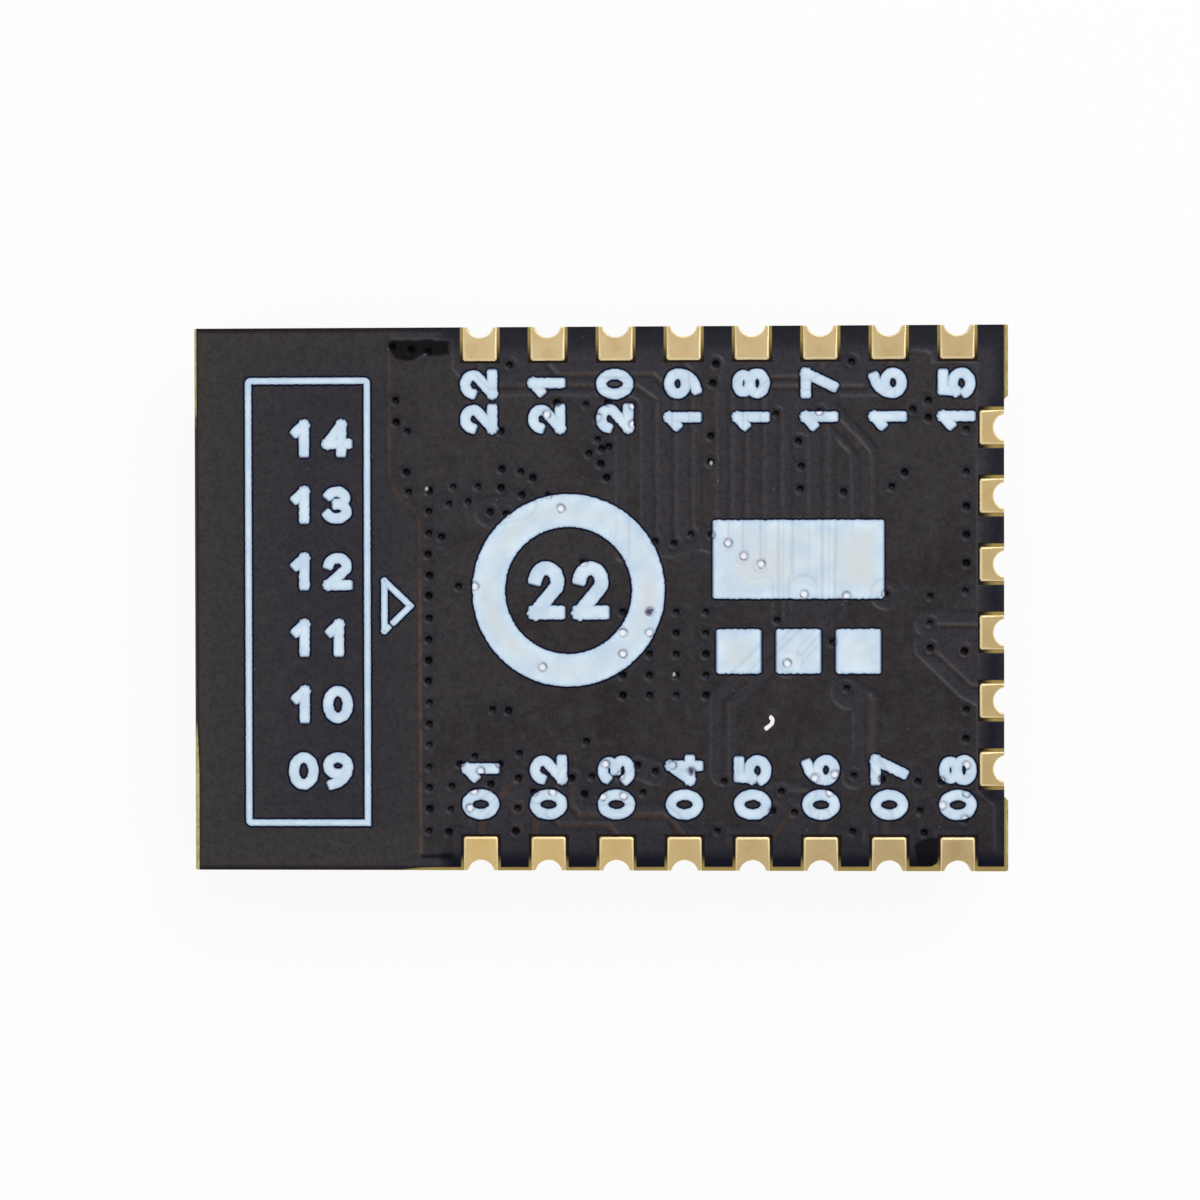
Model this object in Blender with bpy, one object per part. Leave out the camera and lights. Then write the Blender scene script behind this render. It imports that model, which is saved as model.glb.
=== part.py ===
"""Castellated radio microcontroller module, lying on its shield can with the solder side up.

Frame: metres, +Z up, origin on the floor under the middle of the board. The antenna end points
to -X and the end with the shorter row of pads points to +X.
"""

import math

import bmesh
import bpy
from mathutils import Matrix

MM = 0.001

# Board stack
BOARD_LENGTH = 24.0 * MM
BOARD_WIDTH = 16.0 * MM
LAMINATE_THICKNESS = 0.72 * MM
COPPER_THICKNESS = 0.045 * MM  # finished outer copper, which makes the lands
MASK_THICKNESS = 0.035 * MM
BOND_GAP = 0.004 * MM  # between layers that are bonded to each other
SEAT_GAP = 0.010 * MM  # under pieces that are soldered on

# Broken and milled edges of the board
SCORE_SETBACK = 0.10 * MM  # how far the score groove eats into a face at a broken edge
SCORE_DEPTH = 0.24 * MM
END_MILL_STEP = 0.14 * MM  # the milled pad end lies this far behind the broken corners
CORNER_STUB_LENGTH = 2.05 * MM
CORNER_STUB_SLOPE = 0.14 * MM
MASK_EDGE_SETBACK = 0.06 * MM

# Castellated pads
PAD_PITCH = 2.0 * MM
SIDE_PAD_COUNT = 8
END_PAD_COUNT = 6
SIDE_PAD_END_DISTANCE = 1.5 * MM  # from the pad end of the board to the nearest side pad
LAND_WIDTH = 1.02 * MM
SIDE_LAND_DEPTH = 1.00 * MM
END_LAND_DEPTH = 0.72 * MM
LAND_CORNER_RADIUS = 0.07 * MM
HOLE_RADIUS = 0.40 * MM  # finished half-hole
HOLE_OUTSET = 0.09 * MM  # hole centre outside the board edge
PLATING_THICKNESS = 0.03 * MM
MASK_PAD_CLEARANCE = 0.08 * MM  # bare laminate left and right of a land
MASK_PAD_END_CLEARANCE = 0.03 * MM  # and at its inner end

# Printed antenna
ANTENNA_EDGE_MARGIN = 0.80 * MM  # from the antenna end to the middle of the outer track
ANTENNA_LENGTH = 5.60 * MM  # along X, from the outer track to the ground edge
ANTENNA_TRACK_WIDTH = 0.50 * MM
ANTENNA_FOLD_PITCH = 1.35 * MM
ANTENNA_FOLD_LENGTH = 3.60 * MM
ANTENNA_FOLD_COUNT = 7
ANTENNA_FEED_SPACING = 1.90 * MM  # from the grounded leg to the feed leg
ANTENNA_MASK_CLEARANCE = 0.02 * MM

# Shield can and its solder
SHIELD_LENGTH = 15.0 * MM
SHIELD_WIDTH = 12.2 * MM
SHIELD_HEIGHT = 2.28 * MM
SHIELD_SHEET = 0.20 * MM
SHIELD_CORNER_RADIUS = 1.00 * MM
SHIELD_EDGE_RADIUS = 0.40 * MM
SHIELD_END_MARGIN = 1.35 * MM  # from the milled pad end to the can
SOLDER_LEG = 0.36 * MM
SOLDER_RISE = 0.42 * MM
SOLDER_LENGTH = 2.20 * MM
SOLDER_TAPER = 0.35 * MM

# Chip under the can
SOC_SIDE = 5.0 * MM
SOC_HEIGHT = 0.85 * MM
SOC_CHAMFER = 0.06 * MM
SOC_STANDOFF = 0.03 * MM  # solder under the chip
SOC_PAD_SIDE = 3.70 * MM
SOC_PAD_CLEARANCE = 0.05 * MM
SOC_WALL_DISTANCE_X = 3.75 * MM  # from the can's antenna-side wall, where the matching parts stand
SOC_WALL_DISTANCE_Y = 2.05 * MM  # from the can's -Y wall, where the pull-up resistors stand

# Clock crystal under the can
CRYSTAL_LENGTH = 3.20 * MM
CRYSTAL_WIDTH = 2.50 * MM
CRYSTAL_BASE_HEIGHT = 0.45 * MM
CRYSTAL_LID_HEIGHT = 0.25 * MM
CRYSTAL_LID_INSET = 0.15 * MM
CRYSTAL_GAP = 0.70 * MM  # from the chip

# Chip capacitors, resistors and inductors under the can
CHIP_LENGTH = 1.00 * MM
CHIP_WIDTH = 0.50 * MM
CAPACITOR_HEIGHT = 0.50 * MM
RESISTOR_HEIGHT = 0.35 * MM
INDUCTOR_HEIGHT = 0.55 * MM
BULK_LENGTH = 1.60 * MM
BULK_WIDTH = 0.80 * MM
BULK_HEIGHT = 0.80 * MM
END_CAP_LENGTH = 0.25 * MM
END_CAP_STEP = 0.02 * MM  # end caps stand proud of the body by this
END_CAP_CHAMFER = 0.03 * MM
CHIP_PITCH = 1.20 * MM
CHIP_ROW_GAP = 0.50 * MM
CHIP_GAP = 0.40 * MM
DECOUPLING_COUNT = 5
PULLUP_COUNT = 4

ARC_STEPS = 14  # straight steps round each half-hole
CORNER_STEPS = 6  # and round each corner of the can
SMOOTH_ANGLE = math.radians(32.0)

# Heights, from the floor up
Z_FRONT_LAND = SHIELD_HEIGHT + SEAT_GAP
Z_LAMINATE_FRONT = Z_FRONT_LAND + COPPER_THICKNESS
Z_LAMINATE_BACK = Z_LAMINATE_FRONT + LAMINATE_THICKNESS
Z_BACK_LAND = Z_LAMINATE_BACK + COPPER_THICKNESS
Z_FRONT_MASK = Z_LAMINATE_FRONT - BOND_GAP - MASK_THICKNESS
Z_BACK_MASK = Z_LAMINATE_BACK + BOND_GAP + MASK_THICKNESS
Z_SEAT = Z_FRONT_MASK - SEAT_GAP  # soldered pieces hang below this

# Places in plan
HALF_LENGTH = BOARD_LENGTH / 2
HALF_WIDTH = BOARD_WIDTH / 2
END_EDGE_X = HALF_LENGTH - END_MILL_STEP
STUB_INNER_Y = HALF_WIDTH - CORNER_STUB_LENGTH
SHIELD_X = END_EDGE_X - SHIELD_END_MARGIN - SHIELD_LENGTH / 2
SOC_X = SHIELD_X - SHIELD_LENGTH / 2 + SHIELD_SHEET + SOC_WALL_DISTANCE_X + SOC_SIDE / 2
SOC_Y = SHIELD_SHEET - SHIELD_WIDTH / 2 + SOC_WALL_DISTANCE_Y + SOC_SIDE / 2
BARREL_RADIUS = HOLE_RADIUS + PLATING_THICKNESS


def clear_scene():
    """Remove every object of the start-up scene."""
    for item in list(bpy.data.objects):
        bpy.data.objects.remove(item, do_unlink=True)


def finish(name, color, metallic, roughness):
    """Make one Principled material."""
    made = bpy.data.materials.new(name)
    made.use_nodes = True
    shader = made.node_tree.nodes["Principled BSDF"]
    shader.inputs["Base Color"].default_value = (color[0], color[1], color[2], 1.0)
    shader.inputs["Metallic"].default_value = metallic
    shader.inputs["Roughness"].default_value = roughness
    return made


def mesh_from_faces(name, verts, faces, smooth=False):
    """Make a mesh with outward normals from corner points and corner lists."""
    work = bmesh.new()
    made = [work.verts.new(point) for point in verts]
    for corners in faces:
        work.faces.new([made[index] for index in corners])
    bmesh.ops.recalc_face_normals(work, faces=work.faces)
    mesh = bpy.data.meshes.new(name)
    work.to_mesh(mesh)
    work.free()
    if smooth:
        mesh.shade_smooth()
        mesh.set_sharp_from_angle(angle=SMOOTH_ANGLE)
    return mesh


def place(name, mesh, material):
    """Put a mesh in the scene as an object of that name and give it its material."""
    made = bpy.data.objects.new(name, mesh)
    if not mesh.materials:
        mesh.materials.append(material)
    bpy.context.scene.collection.objects.link(made)
    return made


def loft(name, loops, material, smooth=False):
    """Make a closed body from loops with equal point counts, capped at the first and the last."""
    count = len(loops[0])
    verts = [point for loop in loops for point in loop]
    faces = [list(range(count))]
    for level in range(len(loops) - 1):
        low = level * count
        high = low + count
        for index in range(count):
            after = (index + 1) % count
            faces.append([low + index, low + after, high + after, high + index])
    last = (len(loops) - 1) * count
    faces.append(list(range(last, last + count)))
    return place(name, mesh_from_faces(name, verts, faces, smooth), material)


def prism(name, outline, z_low, z_high, material):
    """Make an upright prism on a plan outline."""
    loops = [[(x, y, z) for x, y in outline] for z in (z_low, z_high)]
    return loft(name, loops, material)


def rectangle(x, y, length, width):
    """Plan outline of a rectangle centred on x, y."""
    half_x = length / 2
    half_y = width / 2
    signs = ((-1, -1), (1, -1), (1, 1), (-1, 1))
    return [(x + side_x * half_x, y + side_y * half_y) for side_x, side_y in signs]


def rounded_rectangle(x, y, length, width, radius):
    """Plan outline of a rectangle centred on x, y with rounded corners."""
    points = []
    for corner, (side_x, side_y) in enumerate(((1, 1), (-1, 1), (-1, -1), (1, -1))):
        centre_x = x + side_x * (length / 2 - radius)
        centre_y = y + side_y * (width / 2 - radius)
        for step in range(CORNER_STEPS + 1):
            angle = (corner + step / CORNER_STEPS) * math.pi / 2
            points.append((centre_x + radius * math.cos(angle), centre_y + radius * math.sin(angle)))
    return points


def hole_arc(radius):
    """Points of a half-hole of this radius, in pad axes, from its left end on the edge to its right end."""
    start = math.asin(HOLE_OUTSET / radius)
    sweep = math.pi - 2 * start
    points = []
    for step in range(ARC_STEPS + 1):
        angle = math.pi - start - sweep * step / ARC_STEPS
        points.append((radius * math.cos(angle), radius * math.sin(angle) - HOLE_OUTSET))
    points[0] = (points[0][0], 0.0)
    points[-1] = (points[-1][0], 0.0)
    return points


def side_pad_places():
    """X of each side pad, from the pad end of the board towards the antenna end."""
    first = HALF_LENGTH - SIDE_PAD_END_DISTANCE
    return [first - PAD_PITCH * index for index in range(SIDE_PAD_COUNT)]


def end_pad_places():
    """Y of each end pad, from the -Y side up."""
    middle = (END_PAD_COUNT - 1) / 2
    return [PAD_PITCH * (index - middle) for index in range(END_PAD_COUNT)]


def edge_outline(left_x, stub_x, side_notch, end_notch, edge_x, edge_y):
    """Plan outline of the board or of a film on it, counter-clockwise from the -X, -Y corner.

    Each notch is a list of points in pad axes, from left to right with +v pointing inwards. On the
    long edges u runs along the edge; the same list is turned for the other two edges.
    """
    points = [(left_x, -edge_y)]
    for x in reversed(side_pad_places()):
        points += [(x + u, v - edge_y) for u, v in side_notch]
    points.append((stub_x, -edge_y))
    if stub_x != edge_x:
        points.append((stub_x, -STUB_INNER_Y))
        points.append((edge_x, CORNER_STUB_SLOPE - STUB_INNER_Y))
    for y in end_pad_places():
        points += [(edge_x - v, y + u) for u, v in end_notch]
    if stub_x != edge_x:
        points.append((edge_x, STUB_INNER_Y - CORNER_STUB_SLOPE))
        points.append((stub_x, STUB_INNER_Y))
    points.append((stub_x, edge_y))
    for x in side_pad_places():
        points += [(x - u, edge_y - v) for u, v in side_notch]
    points.append((left_x, edge_y))
    return points


def make_laminate(material):
    """Glass-laminate core: half-holes on three edges, score grooves at the broken edges."""
    notch = hole_arc(BARREL_RADIUS + BOND_GAP)

    def outline(setback):
        return edge_outline(
            setback - HALF_LENGTH, HALF_LENGTH - setback, notch, notch, END_EDGE_X, HALF_WIDTH
        )

    levels = (
        (Z_LAMINATE_FRONT, SCORE_SETBACK),
        (Z_LAMINATE_FRONT + SCORE_DEPTH, 0.0),
        (Z_LAMINATE_BACK - SCORE_DEPTH, 0.0),
        (Z_LAMINATE_BACK, SCORE_SETBACK),
    )
    loops = [[(x, y, z) for x, y in outline(setback)] for z, setback in levels]
    return loft("laminate_board", loops, material, smooth=True)


def mask_outline():
    """Plan outline of a solder-mask film, with a square opening round every land."""
    half = LAND_WIDTH / 2 + MASK_PAD_CLEARANCE
    side_depth = SIDE_LAND_DEPTH + MASK_PAD_END_CLEARANCE - MASK_EDGE_SETBACK
    end_depth = END_LAND_DEPTH + MASK_PAD_END_CLEARANCE - MASK_EDGE_SETBACK
    edge_x = END_EDGE_X - MASK_EDGE_SETBACK
    side_notch = [(-half, 0.0), (-half, side_depth), (half, side_depth), (half, 0.0)]
    end_notch = [(-half, 0.0), (-half, end_depth), (half, end_depth), (half, 0.0)]
    left_x = SCORE_SETBACK + MASK_EDGE_SETBACK - HALF_LENGTH
    return edge_outline(left_x, edge_x, side_notch, end_notch, edge_x, HALF_WIDTH - MASK_EDGE_SETBACK)


def antenna_outline(grow):
    """Plan outline of the folded antenna track with its grounded leg and feed leg, widened by grow."""
    outer_x = ANTENNA_EDGE_MARGIN - HALF_LENGTH
    ground_x = outer_x + ANTENNA_LENGTH
    fold_x = outer_x + ANTENNA_FOLD_LENGTH
    half = ANTENNA_TRACK_WIDTH / 2 + grow
    top_y = (ANTENNA_FEED_SPACING + ANTENNA_FOLD_COUNT * ANTENNA_FOLD_PITCH) / 2
    feed_y = top_y - ANTENNA_FEED_SPACING
    path = [(ground_x, top_y), (outer_x, top_y)]
    at_outer = True
    for fold in range(1, ANTENNA_FOLD_COUNT + 1):
        y = feed_y - fold * ANTENNA_FOLD_PITCH
        path.append((outer_x if at_outer else fold_x, y))
        at_outer = not at_outer
        path.append((outer_x if at_outer else fold_x, y))
    sides = ([], [])
    for index, (x, y) in enumerate(path):
        before = path[max(index - 1, 0)]
        after = path[min(index + 1, len(path) - 1)]
        into = unit(before, (x, y))
        out = unit((x, y), after)
        if index == 0:
            into = out
        if index == len(path) - 1:
            out = into
        ends = grow * ((index == len(path) - 1) - (index == 0))
        for side, sign in enumerate((1, -1)):
            shift_x = -sign * half * (into[1] if into == out else into[1] + out[1])
            shift_y = sign * half * (into[0] if into == out else into[0] + out[0])
            sides[side].append((x + shift_x + ends * out[0], y + shift_y + ends * out[1]))
    inner_x = outer_x + half
    tip_x = ground_x + grow
    feed = [(inner_x, feed_y + half), (tip_x, feed_y + half)]
    feed += [(tip_x, feed_y - half), (inner_x, feed_y - half)]
    left = sides[0][:2] + feed + sides[0][2:]
    return left + sides[1][::-1]


def unit(start, end):
    """Direction from start to end, which differ along one axis only."""
    step_x = end[0] - start[0]
    step_y = end[1] - start[1]
    if abs(step_x) > abs(step_y):
        return (math.copysign(1.0, step_x), 0.0)
    return (0.0, math.copysign(1.0, step_y))


def cut(target, cutter):
    """Take the cutter's shape out of the target and keep the cutter out of renders."""
    cutter.hide_render = True
    cutter.display_type = "WIRE"
    modifier = target.modifiers.new("cut_" + cutter.name, "BOOLEAN")
    modifier.operation = "DIFFERENCE"
    modifier.solver = "EXACT"
    modifier.object = cutter


def make_masks(material):
    """Solder-mask films on both faces; the front one is open at the antenna and the chip's pad."""
    prism("solder_mask_back", mask_outline(), Z_LAMINATE_BACK + BOND_GAP, Z_BACK_MASK, material)
    front = prism("solder_mask_front", mask_outline(), Z_FRONT_MASK, Z_LAMINATE_FRONT - BOND_GAP, material)
    low = Z_FRONT_MASK - MASK_THICKNESS
    high = Z_LAMINATE_FRONT + MASK_THICKNESS
    slot = prism("antenna_slot", antenna_outline(ANTENNA_MASK_CLEARANCE), low, high, material)
    cut(front, slot)
    window_side = SOC_PAD_SIDE + 2 * SOC_PAD_CLEARANCE
    window = prism("soc_window", rectangle(SOC_X, SOC_Y, window_side, window_side), low, high, material)
    cut(front, window)


def land_outline(depth):
    """Outline of a land in pad axes, from its left end on the edge round to its right end."""
    half = LAND_WIDTH / 2
    points = [(-half, 0.0)]
    for centre_u, start in ((LAND_CORNER_RADIUS - half, math.pi), (half - LAND_CORNER_RADIUS, math.pi / 2)):
        for step in range(4):
            angle = start - step / 3 * math.pi / 2
            points.append(
                (
                    centre_u + LAND_CORNER_RADIUS * math.cos(angle),
                    depth - LAND_CORNER_RADIUS + LAND_CORNER_RADIUS * math.sin(angle),
                )
            )
    points.append((half, 0.0))
    return points


def castellation_mesh(name, depth):
    """Plated half-hole: a land on each face joined by half a barrel, as one body."""
    land = land_outline(depth)
    bore = hole_arc(HOLE_RADIUS)
    barrel = hole_arc(BARREL_RADIUS)
    levels = (Z_BACK_LAND, Z_LAMINATE_BACK + BOND_GAP, Z_LAMINATE_FRONT - BOND_GAP, Z_FRONT_LAND)
    verts = []

    def ring(points, z):
        start = len(verts)
        verts.extend((u, v, z) for u, v in points)
        return list(range(start, start + len(points)))

    lands = [ring(land, z) for z in levels]
    bores = {0: ring(bore, levels[0]), 3: ring(bore, levels[3])}
    barrels = {1: ring(barrel, levels[1]), 2: ring(barrel, levels[2])}
    faces = []
    for level in range(4):
        inner = bores.get(level) or barrels.get(level)
        faces.append(lands[level] + inner[::-1])
    strips = ((lands[0], lands[1]), (lands[2], lands[3]), (bores[0], bores[3]), (barrels[1], barrels[2]))
    for upper, lower in strips:
        for index in range(len(upper) - 1):
            faces.append([upper[index], upper[index + 1], lower[index + 1], lower[index]])
    for end in (0, -1):
        rim = [lands[0][end], lands[1][end], barrels[1][end], barrels[2][end]]
        rim += [lands[2][end], lands[3][end], bores[3][end], bores[0][end]]
        faces.append(rim)
    return mesh_from_faces(name, verts, faces, smooth=True)


def make_castellations(material):
    """All plated half-holes: up the -Y edge to the pad end, up that end, and back along the +Y edge."""
    side_mesh = castellation_mesh("side_castellation", SIDE_LAND_DEPTH)
    end_mesh = castellation_mesh("end_castellation", END_LAND_DEPTH)
    places = [(side_mesh, x, -HALF_WIDTH, 0.0) for x in reversed(side_pad_places())]
    places += [(end_mesh, END_EDGE_X, y, math.pi / 2) for y in end_pad_places()]
    places += [(side_mesh, x, HALF_WIDTH, math.pi) for x in side_pad_places()]
    for number, (mesh, x, y, turn) in enumerate(places, start=1):
        made = place(f"castellation_{number:02d}", mesh, material)
        made.matrix_world = Matrix.Translation((x, y, 0.0)) @ Matrix.Rotation(turn, 4, "Z")


def make_antenna(material):
    """Printed antenna track on the component side."""
    prism("antenna_trace", antenna_outline(0.0), Z_FRONT_LAND, Z_LAMINATE_FRONT - BOND_GAP, material)


def shield_loop(inset, z):
    """Loop of the can at a height, set in from its outer wall."""
    radius = max(SHIELD_CORNER_RADIUS - inset, 0.2 * SHIELD_CORNER_RADIUS)
    length = SHIELD_LENGTH - 2 * inset
    width = SHIELD_WIDTH - 2 * inset
    return [(x, y, z) for x, y in rounded_rectangle(SHIELD_X, 0.0, length, width, radius)]


def make_shield(material):
    """Drawn can, open towards the board, with rounded corners and a rounded edge round its flat face."""
    inner_radius = max(SHIELD_EDGE_RADIUS - SHIELD_SHEET, 0.25 * SHIELD_EDGE_RADIUS)
    loops = []
    for step in range(CORNER_STEPS + 1):
        angle = (1 - step / CORNER_STEPS) * math.pi / 2
        inset = SHIELD_SHEET + inner_radius * (1 - math.cos(angle))
        loops.append(shield_loop(inset, SHIELD_SHEET + inner_radius * (1 - math.sin(angle))))
    loops.append(shield_loop(SHIELD_SHEET, SHIELD_HEIGHT))
    loops.append(shield_loop(0.0, SHIELD_HEIGHT))
    for step in range(CORNER_STEPS + 1):
        angle = step / CORNER_STEPS * math.pi / 2
        inset = SHIELD_EDGE_RADIUS * (1 - math.cos(angle))
        loops.append(shield_loop(inset, SHIELD_EDGE_RADIUS * (1 - math.sin(angle))))
    loft("shield_can", loops, material, smooth=True)


def make_shield_solder(material):
    """Solder fillets in the corner between the can's wall and the board, two on each side."""
    steps = 5
    profile = [(0.0, 0.0)]
    for step in range(steps + 1):
        angle = step / steps * math.pi / 2
        profile.append((SOLDER_LEG * (1 - math.sin(angle)), SOLDER_RISE * (1 - math.cos(angle))))
    half = SOLDER_LENGTH / 2
    stations = ((-half, 0.35), (SOLDER_TAPER - half, 1.0), (half - SOLDER_TAPER, 1.0), (half, 0.35))
    number = 0
    for turn in range(4):
        angle = turn * math.pi / 2
        along_x = turn % 2 == 0
        reach = (SHIELD_WIDTH if along_x else SHIELD_LENGTH) / 2 + SEAT_GAP
        run = (SHIELD_LENGTH if along_x else SHIELD_WIDTH) / 4
        for place_along in (-run, run):
            number += 1
            loops = []
            for along, share in stations:
                at = place_along + along
                points = [(at, -reach - out * share, Z_SEAT - rise * share) for out, rise in profile]
                loops.append([turned(point, angle) for point in points])
            loft(f"shield_solder_{number}", loops, material, smooth=True)


def turned(point, angle):
    """Turn a point about the upright axis through the middle of the can."""
    x, y, z = point
    return (
        SHIELD_X + x * math.cos(angle) - y * math.sin(angle),
        x * math.sin(angle) + y * math.cos(angle),
        z,
    )


def make_soc(package_material, pad_material):
    """Radio microcontroller chip with chamfered top edges, on its soldered ground pad."""
    base_z = Z_FRONT_MASK - SOC_STANDOFF
    top_z = base_z - SOC_HEIGHT
    sections = ((base_z, 0.0), (top_z + SOC_CHAMFER, 0.0), (top_z, SOC_CHAMFER))
    loops = []
    for z, inset in sections:
        side = SOC_SIDE - 2 * inset
        loops.append([(x, y, z) for x, y in rectangle(SOC_X, SOC_Y, side, side)])
    loft("soc_package", loops, package_material)
    outline = rectangle(SOC_X, SOC_Y, SOC_PAD_SIDE, SOC_PAD_SIDE)
    prism("soc_thermal_pad", outline, base_z + BOND_GAP, Z_LAMINATE_FRONT - BOND_GAP, pad_material)


def make_crystal(x, y, base_material, lid_material):
    """Clock crystal: a ceramic tray with a metal lid."""
    tray_z = Z_SEAT - CRYSTAL_BASE_HEIGHT
    prism("crystal_base", rectangle(x, y, CRYSTAL_WIDTH, CRYSTAL_LENGTH), tray_z, Z_SEAT, base_material)
    lid_width = CRYSTAL_WIDTH - 2 * CRYSTAL_LID_INSET
    lid_length = CRYSTAL_LENGTH - 2 * CRYSTAL_LID_INSET
    lid_z = tray_z - BOND_GAP
    outline = rounded_rectangle(x, y, lid_width, lid_length, CRYSTAL_LID_INSET)
    prism("crystal_lid", outline, lid_z - CRYSTAL_LID_HEIGHT, lid_z, lid_material)


def make_chip(name, x, y, along_y, size, material):
    """Two-ended chip part: a body with a proud, chamfered cap on each end."""
    length, width, height = size
    half = length / 2
    middle_z = Z_SEAT - height / 2
    stations = (
        (-half, END_CAP_CHAMFER),
        (END_CAP_CHAMFER - half, 0.0),
        (END_CAP_LENGTH - half, 0.0),
        (END_CAP_LENGTH - half, END_CAP_STEP),
        (half - END_CAP_LENGTH, END_CAP_STEP),
        (half - END_CAP_LENGTH, 0.0),
        (half - END_CAP_CHAMFER, 0.0),
        (half, END_CAP_CHAMFER),
    )
    loops = []
    for along, inset in stations:
        across = width / 2 - inset
        rise = height / 2 - inset
        loop = []
        for side, up in ((-1, -1), (1, -1), (1, 1), (-1, 1)):
            if along_y:
                loop.append((x + side * across, y + along, middle_z + up * rise))
            else:
                loop.append((x + along, y + side * across, middle_z + up * rise))
        loops.append(loop)
    loft(name, loops, material)


def make_circuit(materials):
    """Chip, crystal and the small two-ended parts around them, all under the can."""
    make_soc(materials["package"], materials["tin"])
    edge = SOC_SIDE / 2
    crystal_x = SOC_X + edge + CRYSTAL_GAP + CRYSTAL_WIDTH / 2
    make_crystal(crystal_x, SOC_Y, materials["alumina"], materials["nickel"])
    capacitor = (CHIP_LENGTH, CHIP_WIDTH, CAPACITOR_HEIGHT)
    resistor = (CHIP_LENGTH, CHIP_WIDTH, RESISTOR_HEIGHT)
    inductor = (CHIP_LENGTH, CHIP_WIDTH, INDUCTOR_HEIGHT)
    row = edge + CHIP_ROW_GAP + CHIP_LENGTH / 2
    for index in range(DECOUPLING_COUNT):
        x = SOC_X + (index - (DECOUPLING_COUNT - 1) / 2) * CHIP_PITCH
        name = f"decoupling_capacitor_{index + 1}"
        make_chip(name, x, SOC_Y + row, True, capacitor, materials["titanate"])
    for index in range(PULLUP_COUNT):
        x = SOC_X + (index - (PULLUP_COUNT - 1) / 2) * CHIP_PITCH
        name = f"pullup_resistor_{index + 1}"
        make_chip(name, x, SOC_Y - row, True, resistor, materials["resistor"])
    load_reach = CRYSTAL_LENGTH / 2 + CHIP_GAP + CHIP_WIDTH / 2
    for index, side in enumerate((-1, 1)):
        name = f"crystal_load_capacitor_{index + 1}"
        make_chip(name, crystal_x, SOC_Y + side * load_reach, False, capacitor, materials["titanate"])
    chain_step = CHIP_LENGTH + CHIP_GAP
    make_chip("rf_match_capacitor_1", SOC_X - row, SOC_Y, False, capacitor, materials["titanate"])
    make_chip("rf_match_inductor", SOC_X - row - chain_step, SOC_Y, False, inductor, materials["ferrite"])
    shunt_y = SOC_Y + CHIP_WIDTH / 2 + CHIP_GAP + CHIP_LENGTH / 2
    shunt_x = SOC_X - row - chain_step / 2
    make_chip("rf_match_capacitor_2", shunt_x, shunt_y, True, capacitor, materials["titanate"])
    supply_y = SOC_Y + load_reach + CHIP_WIDTH / 2 + CHIP_GAP + BULK_WIDTH / 2
    bulk = (BULK_LENGTH, BULK_WIDTH, BULK_HEIGHT)
    make_chip("bulk_capacitor", crystal_x, supply_y, False, bulk, materials["titanate"])
    coil_y = supply_y + BULK_WIDTH / 2 + CHIP_GAP + CHIP_WIDTH / 2
    make_chip("supply_inductor", crystal_x, coil_y, False, inductor, materials["ferrite"])


def main():
    """Build the module."""
    clear_scene()
    materials = {
        "laminate": finish("laminate", (0.36, 0.30, 0.10), 0.0, 0.6),
        "mask": finish("mask", (0.036, 0.034, 0.034), 0.0, 0.35),
        "gold": finish("gold", (0.60, 0.38, 0.13), 1.0, 0.3),
        "copper": finish("copper", (0.45, 0.20, 0.10), 1.0, 0.35),
        "nickel": finish("nickel", (0.58, 0.57, 0.55), 1.0, 0.3),
        "tin": finish("tin", (0.50, 0.51, 0.53), 1.0, 0.25),
        "package": finish("package", (0.02, 0.02, 0.022), 0.0, 0.5),
        "alumina": finish("alumina", (0.30, 0.28, 0.25), 0.0, 0.6),
        "titanate": finish("titanate", (0.32, 0.19, 0.10), 0.0, 0.5),
        "resistor": finish("resistor", (0.03, 0.03, 0.035), 0.0, 0.4),
        "ferrite": finish("ferrite", (0.08, 0.08, 0.09), 0.0, 0.5),
    }
    make_laminate(materials["laminate"])
    make_masks(materials["mask"])
    make_castellations(materials["gold"])
    make_antenna(materials["copper"])
    make_shield(materials["nickel"])
    make_shield_solder(materials["tin"])
    make_circuit(materials)


main()
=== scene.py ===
"""Looks of a castellated radio microcontroller module that lies with its solder side up.

Lengths are in mm where a line doesn't name another unit.
"""

import logging
import math
from dataclasses import dataclass, field, replace
from enum import Enum
from typing import Sequence, Union

import bpy
import numpy as np
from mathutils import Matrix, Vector


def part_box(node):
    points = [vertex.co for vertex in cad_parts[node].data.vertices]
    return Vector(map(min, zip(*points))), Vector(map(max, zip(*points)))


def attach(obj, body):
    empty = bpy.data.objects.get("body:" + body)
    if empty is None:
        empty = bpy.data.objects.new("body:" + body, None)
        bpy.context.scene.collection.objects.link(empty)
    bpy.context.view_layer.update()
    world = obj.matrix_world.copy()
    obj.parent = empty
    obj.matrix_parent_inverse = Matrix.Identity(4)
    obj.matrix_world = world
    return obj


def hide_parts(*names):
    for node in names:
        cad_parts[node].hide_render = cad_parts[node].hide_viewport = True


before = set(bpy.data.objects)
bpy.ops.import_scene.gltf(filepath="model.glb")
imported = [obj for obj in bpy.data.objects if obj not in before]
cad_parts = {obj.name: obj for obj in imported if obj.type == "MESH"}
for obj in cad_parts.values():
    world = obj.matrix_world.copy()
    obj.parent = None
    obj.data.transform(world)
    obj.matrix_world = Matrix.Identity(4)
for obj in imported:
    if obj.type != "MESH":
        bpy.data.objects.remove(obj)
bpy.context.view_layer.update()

MM = 0.001  # shapes are worked out in millimetres and stored in metres
TURN = 6.283  # full turn of the sine waves in a ripple, in radians
QUARTER = math.pi / 2  # quarter turn, in radians
LOG = logging.getLogger("module")

Array = np.ndarray
Material = bpy.types.Material
Point = tuple[float, float]
Path = tuple[Point, ...]
Triple = tuple[float, float, float]
Colour = Triple  # red, green and blue, linear
Input = Union["Value", float, tuple]


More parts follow.
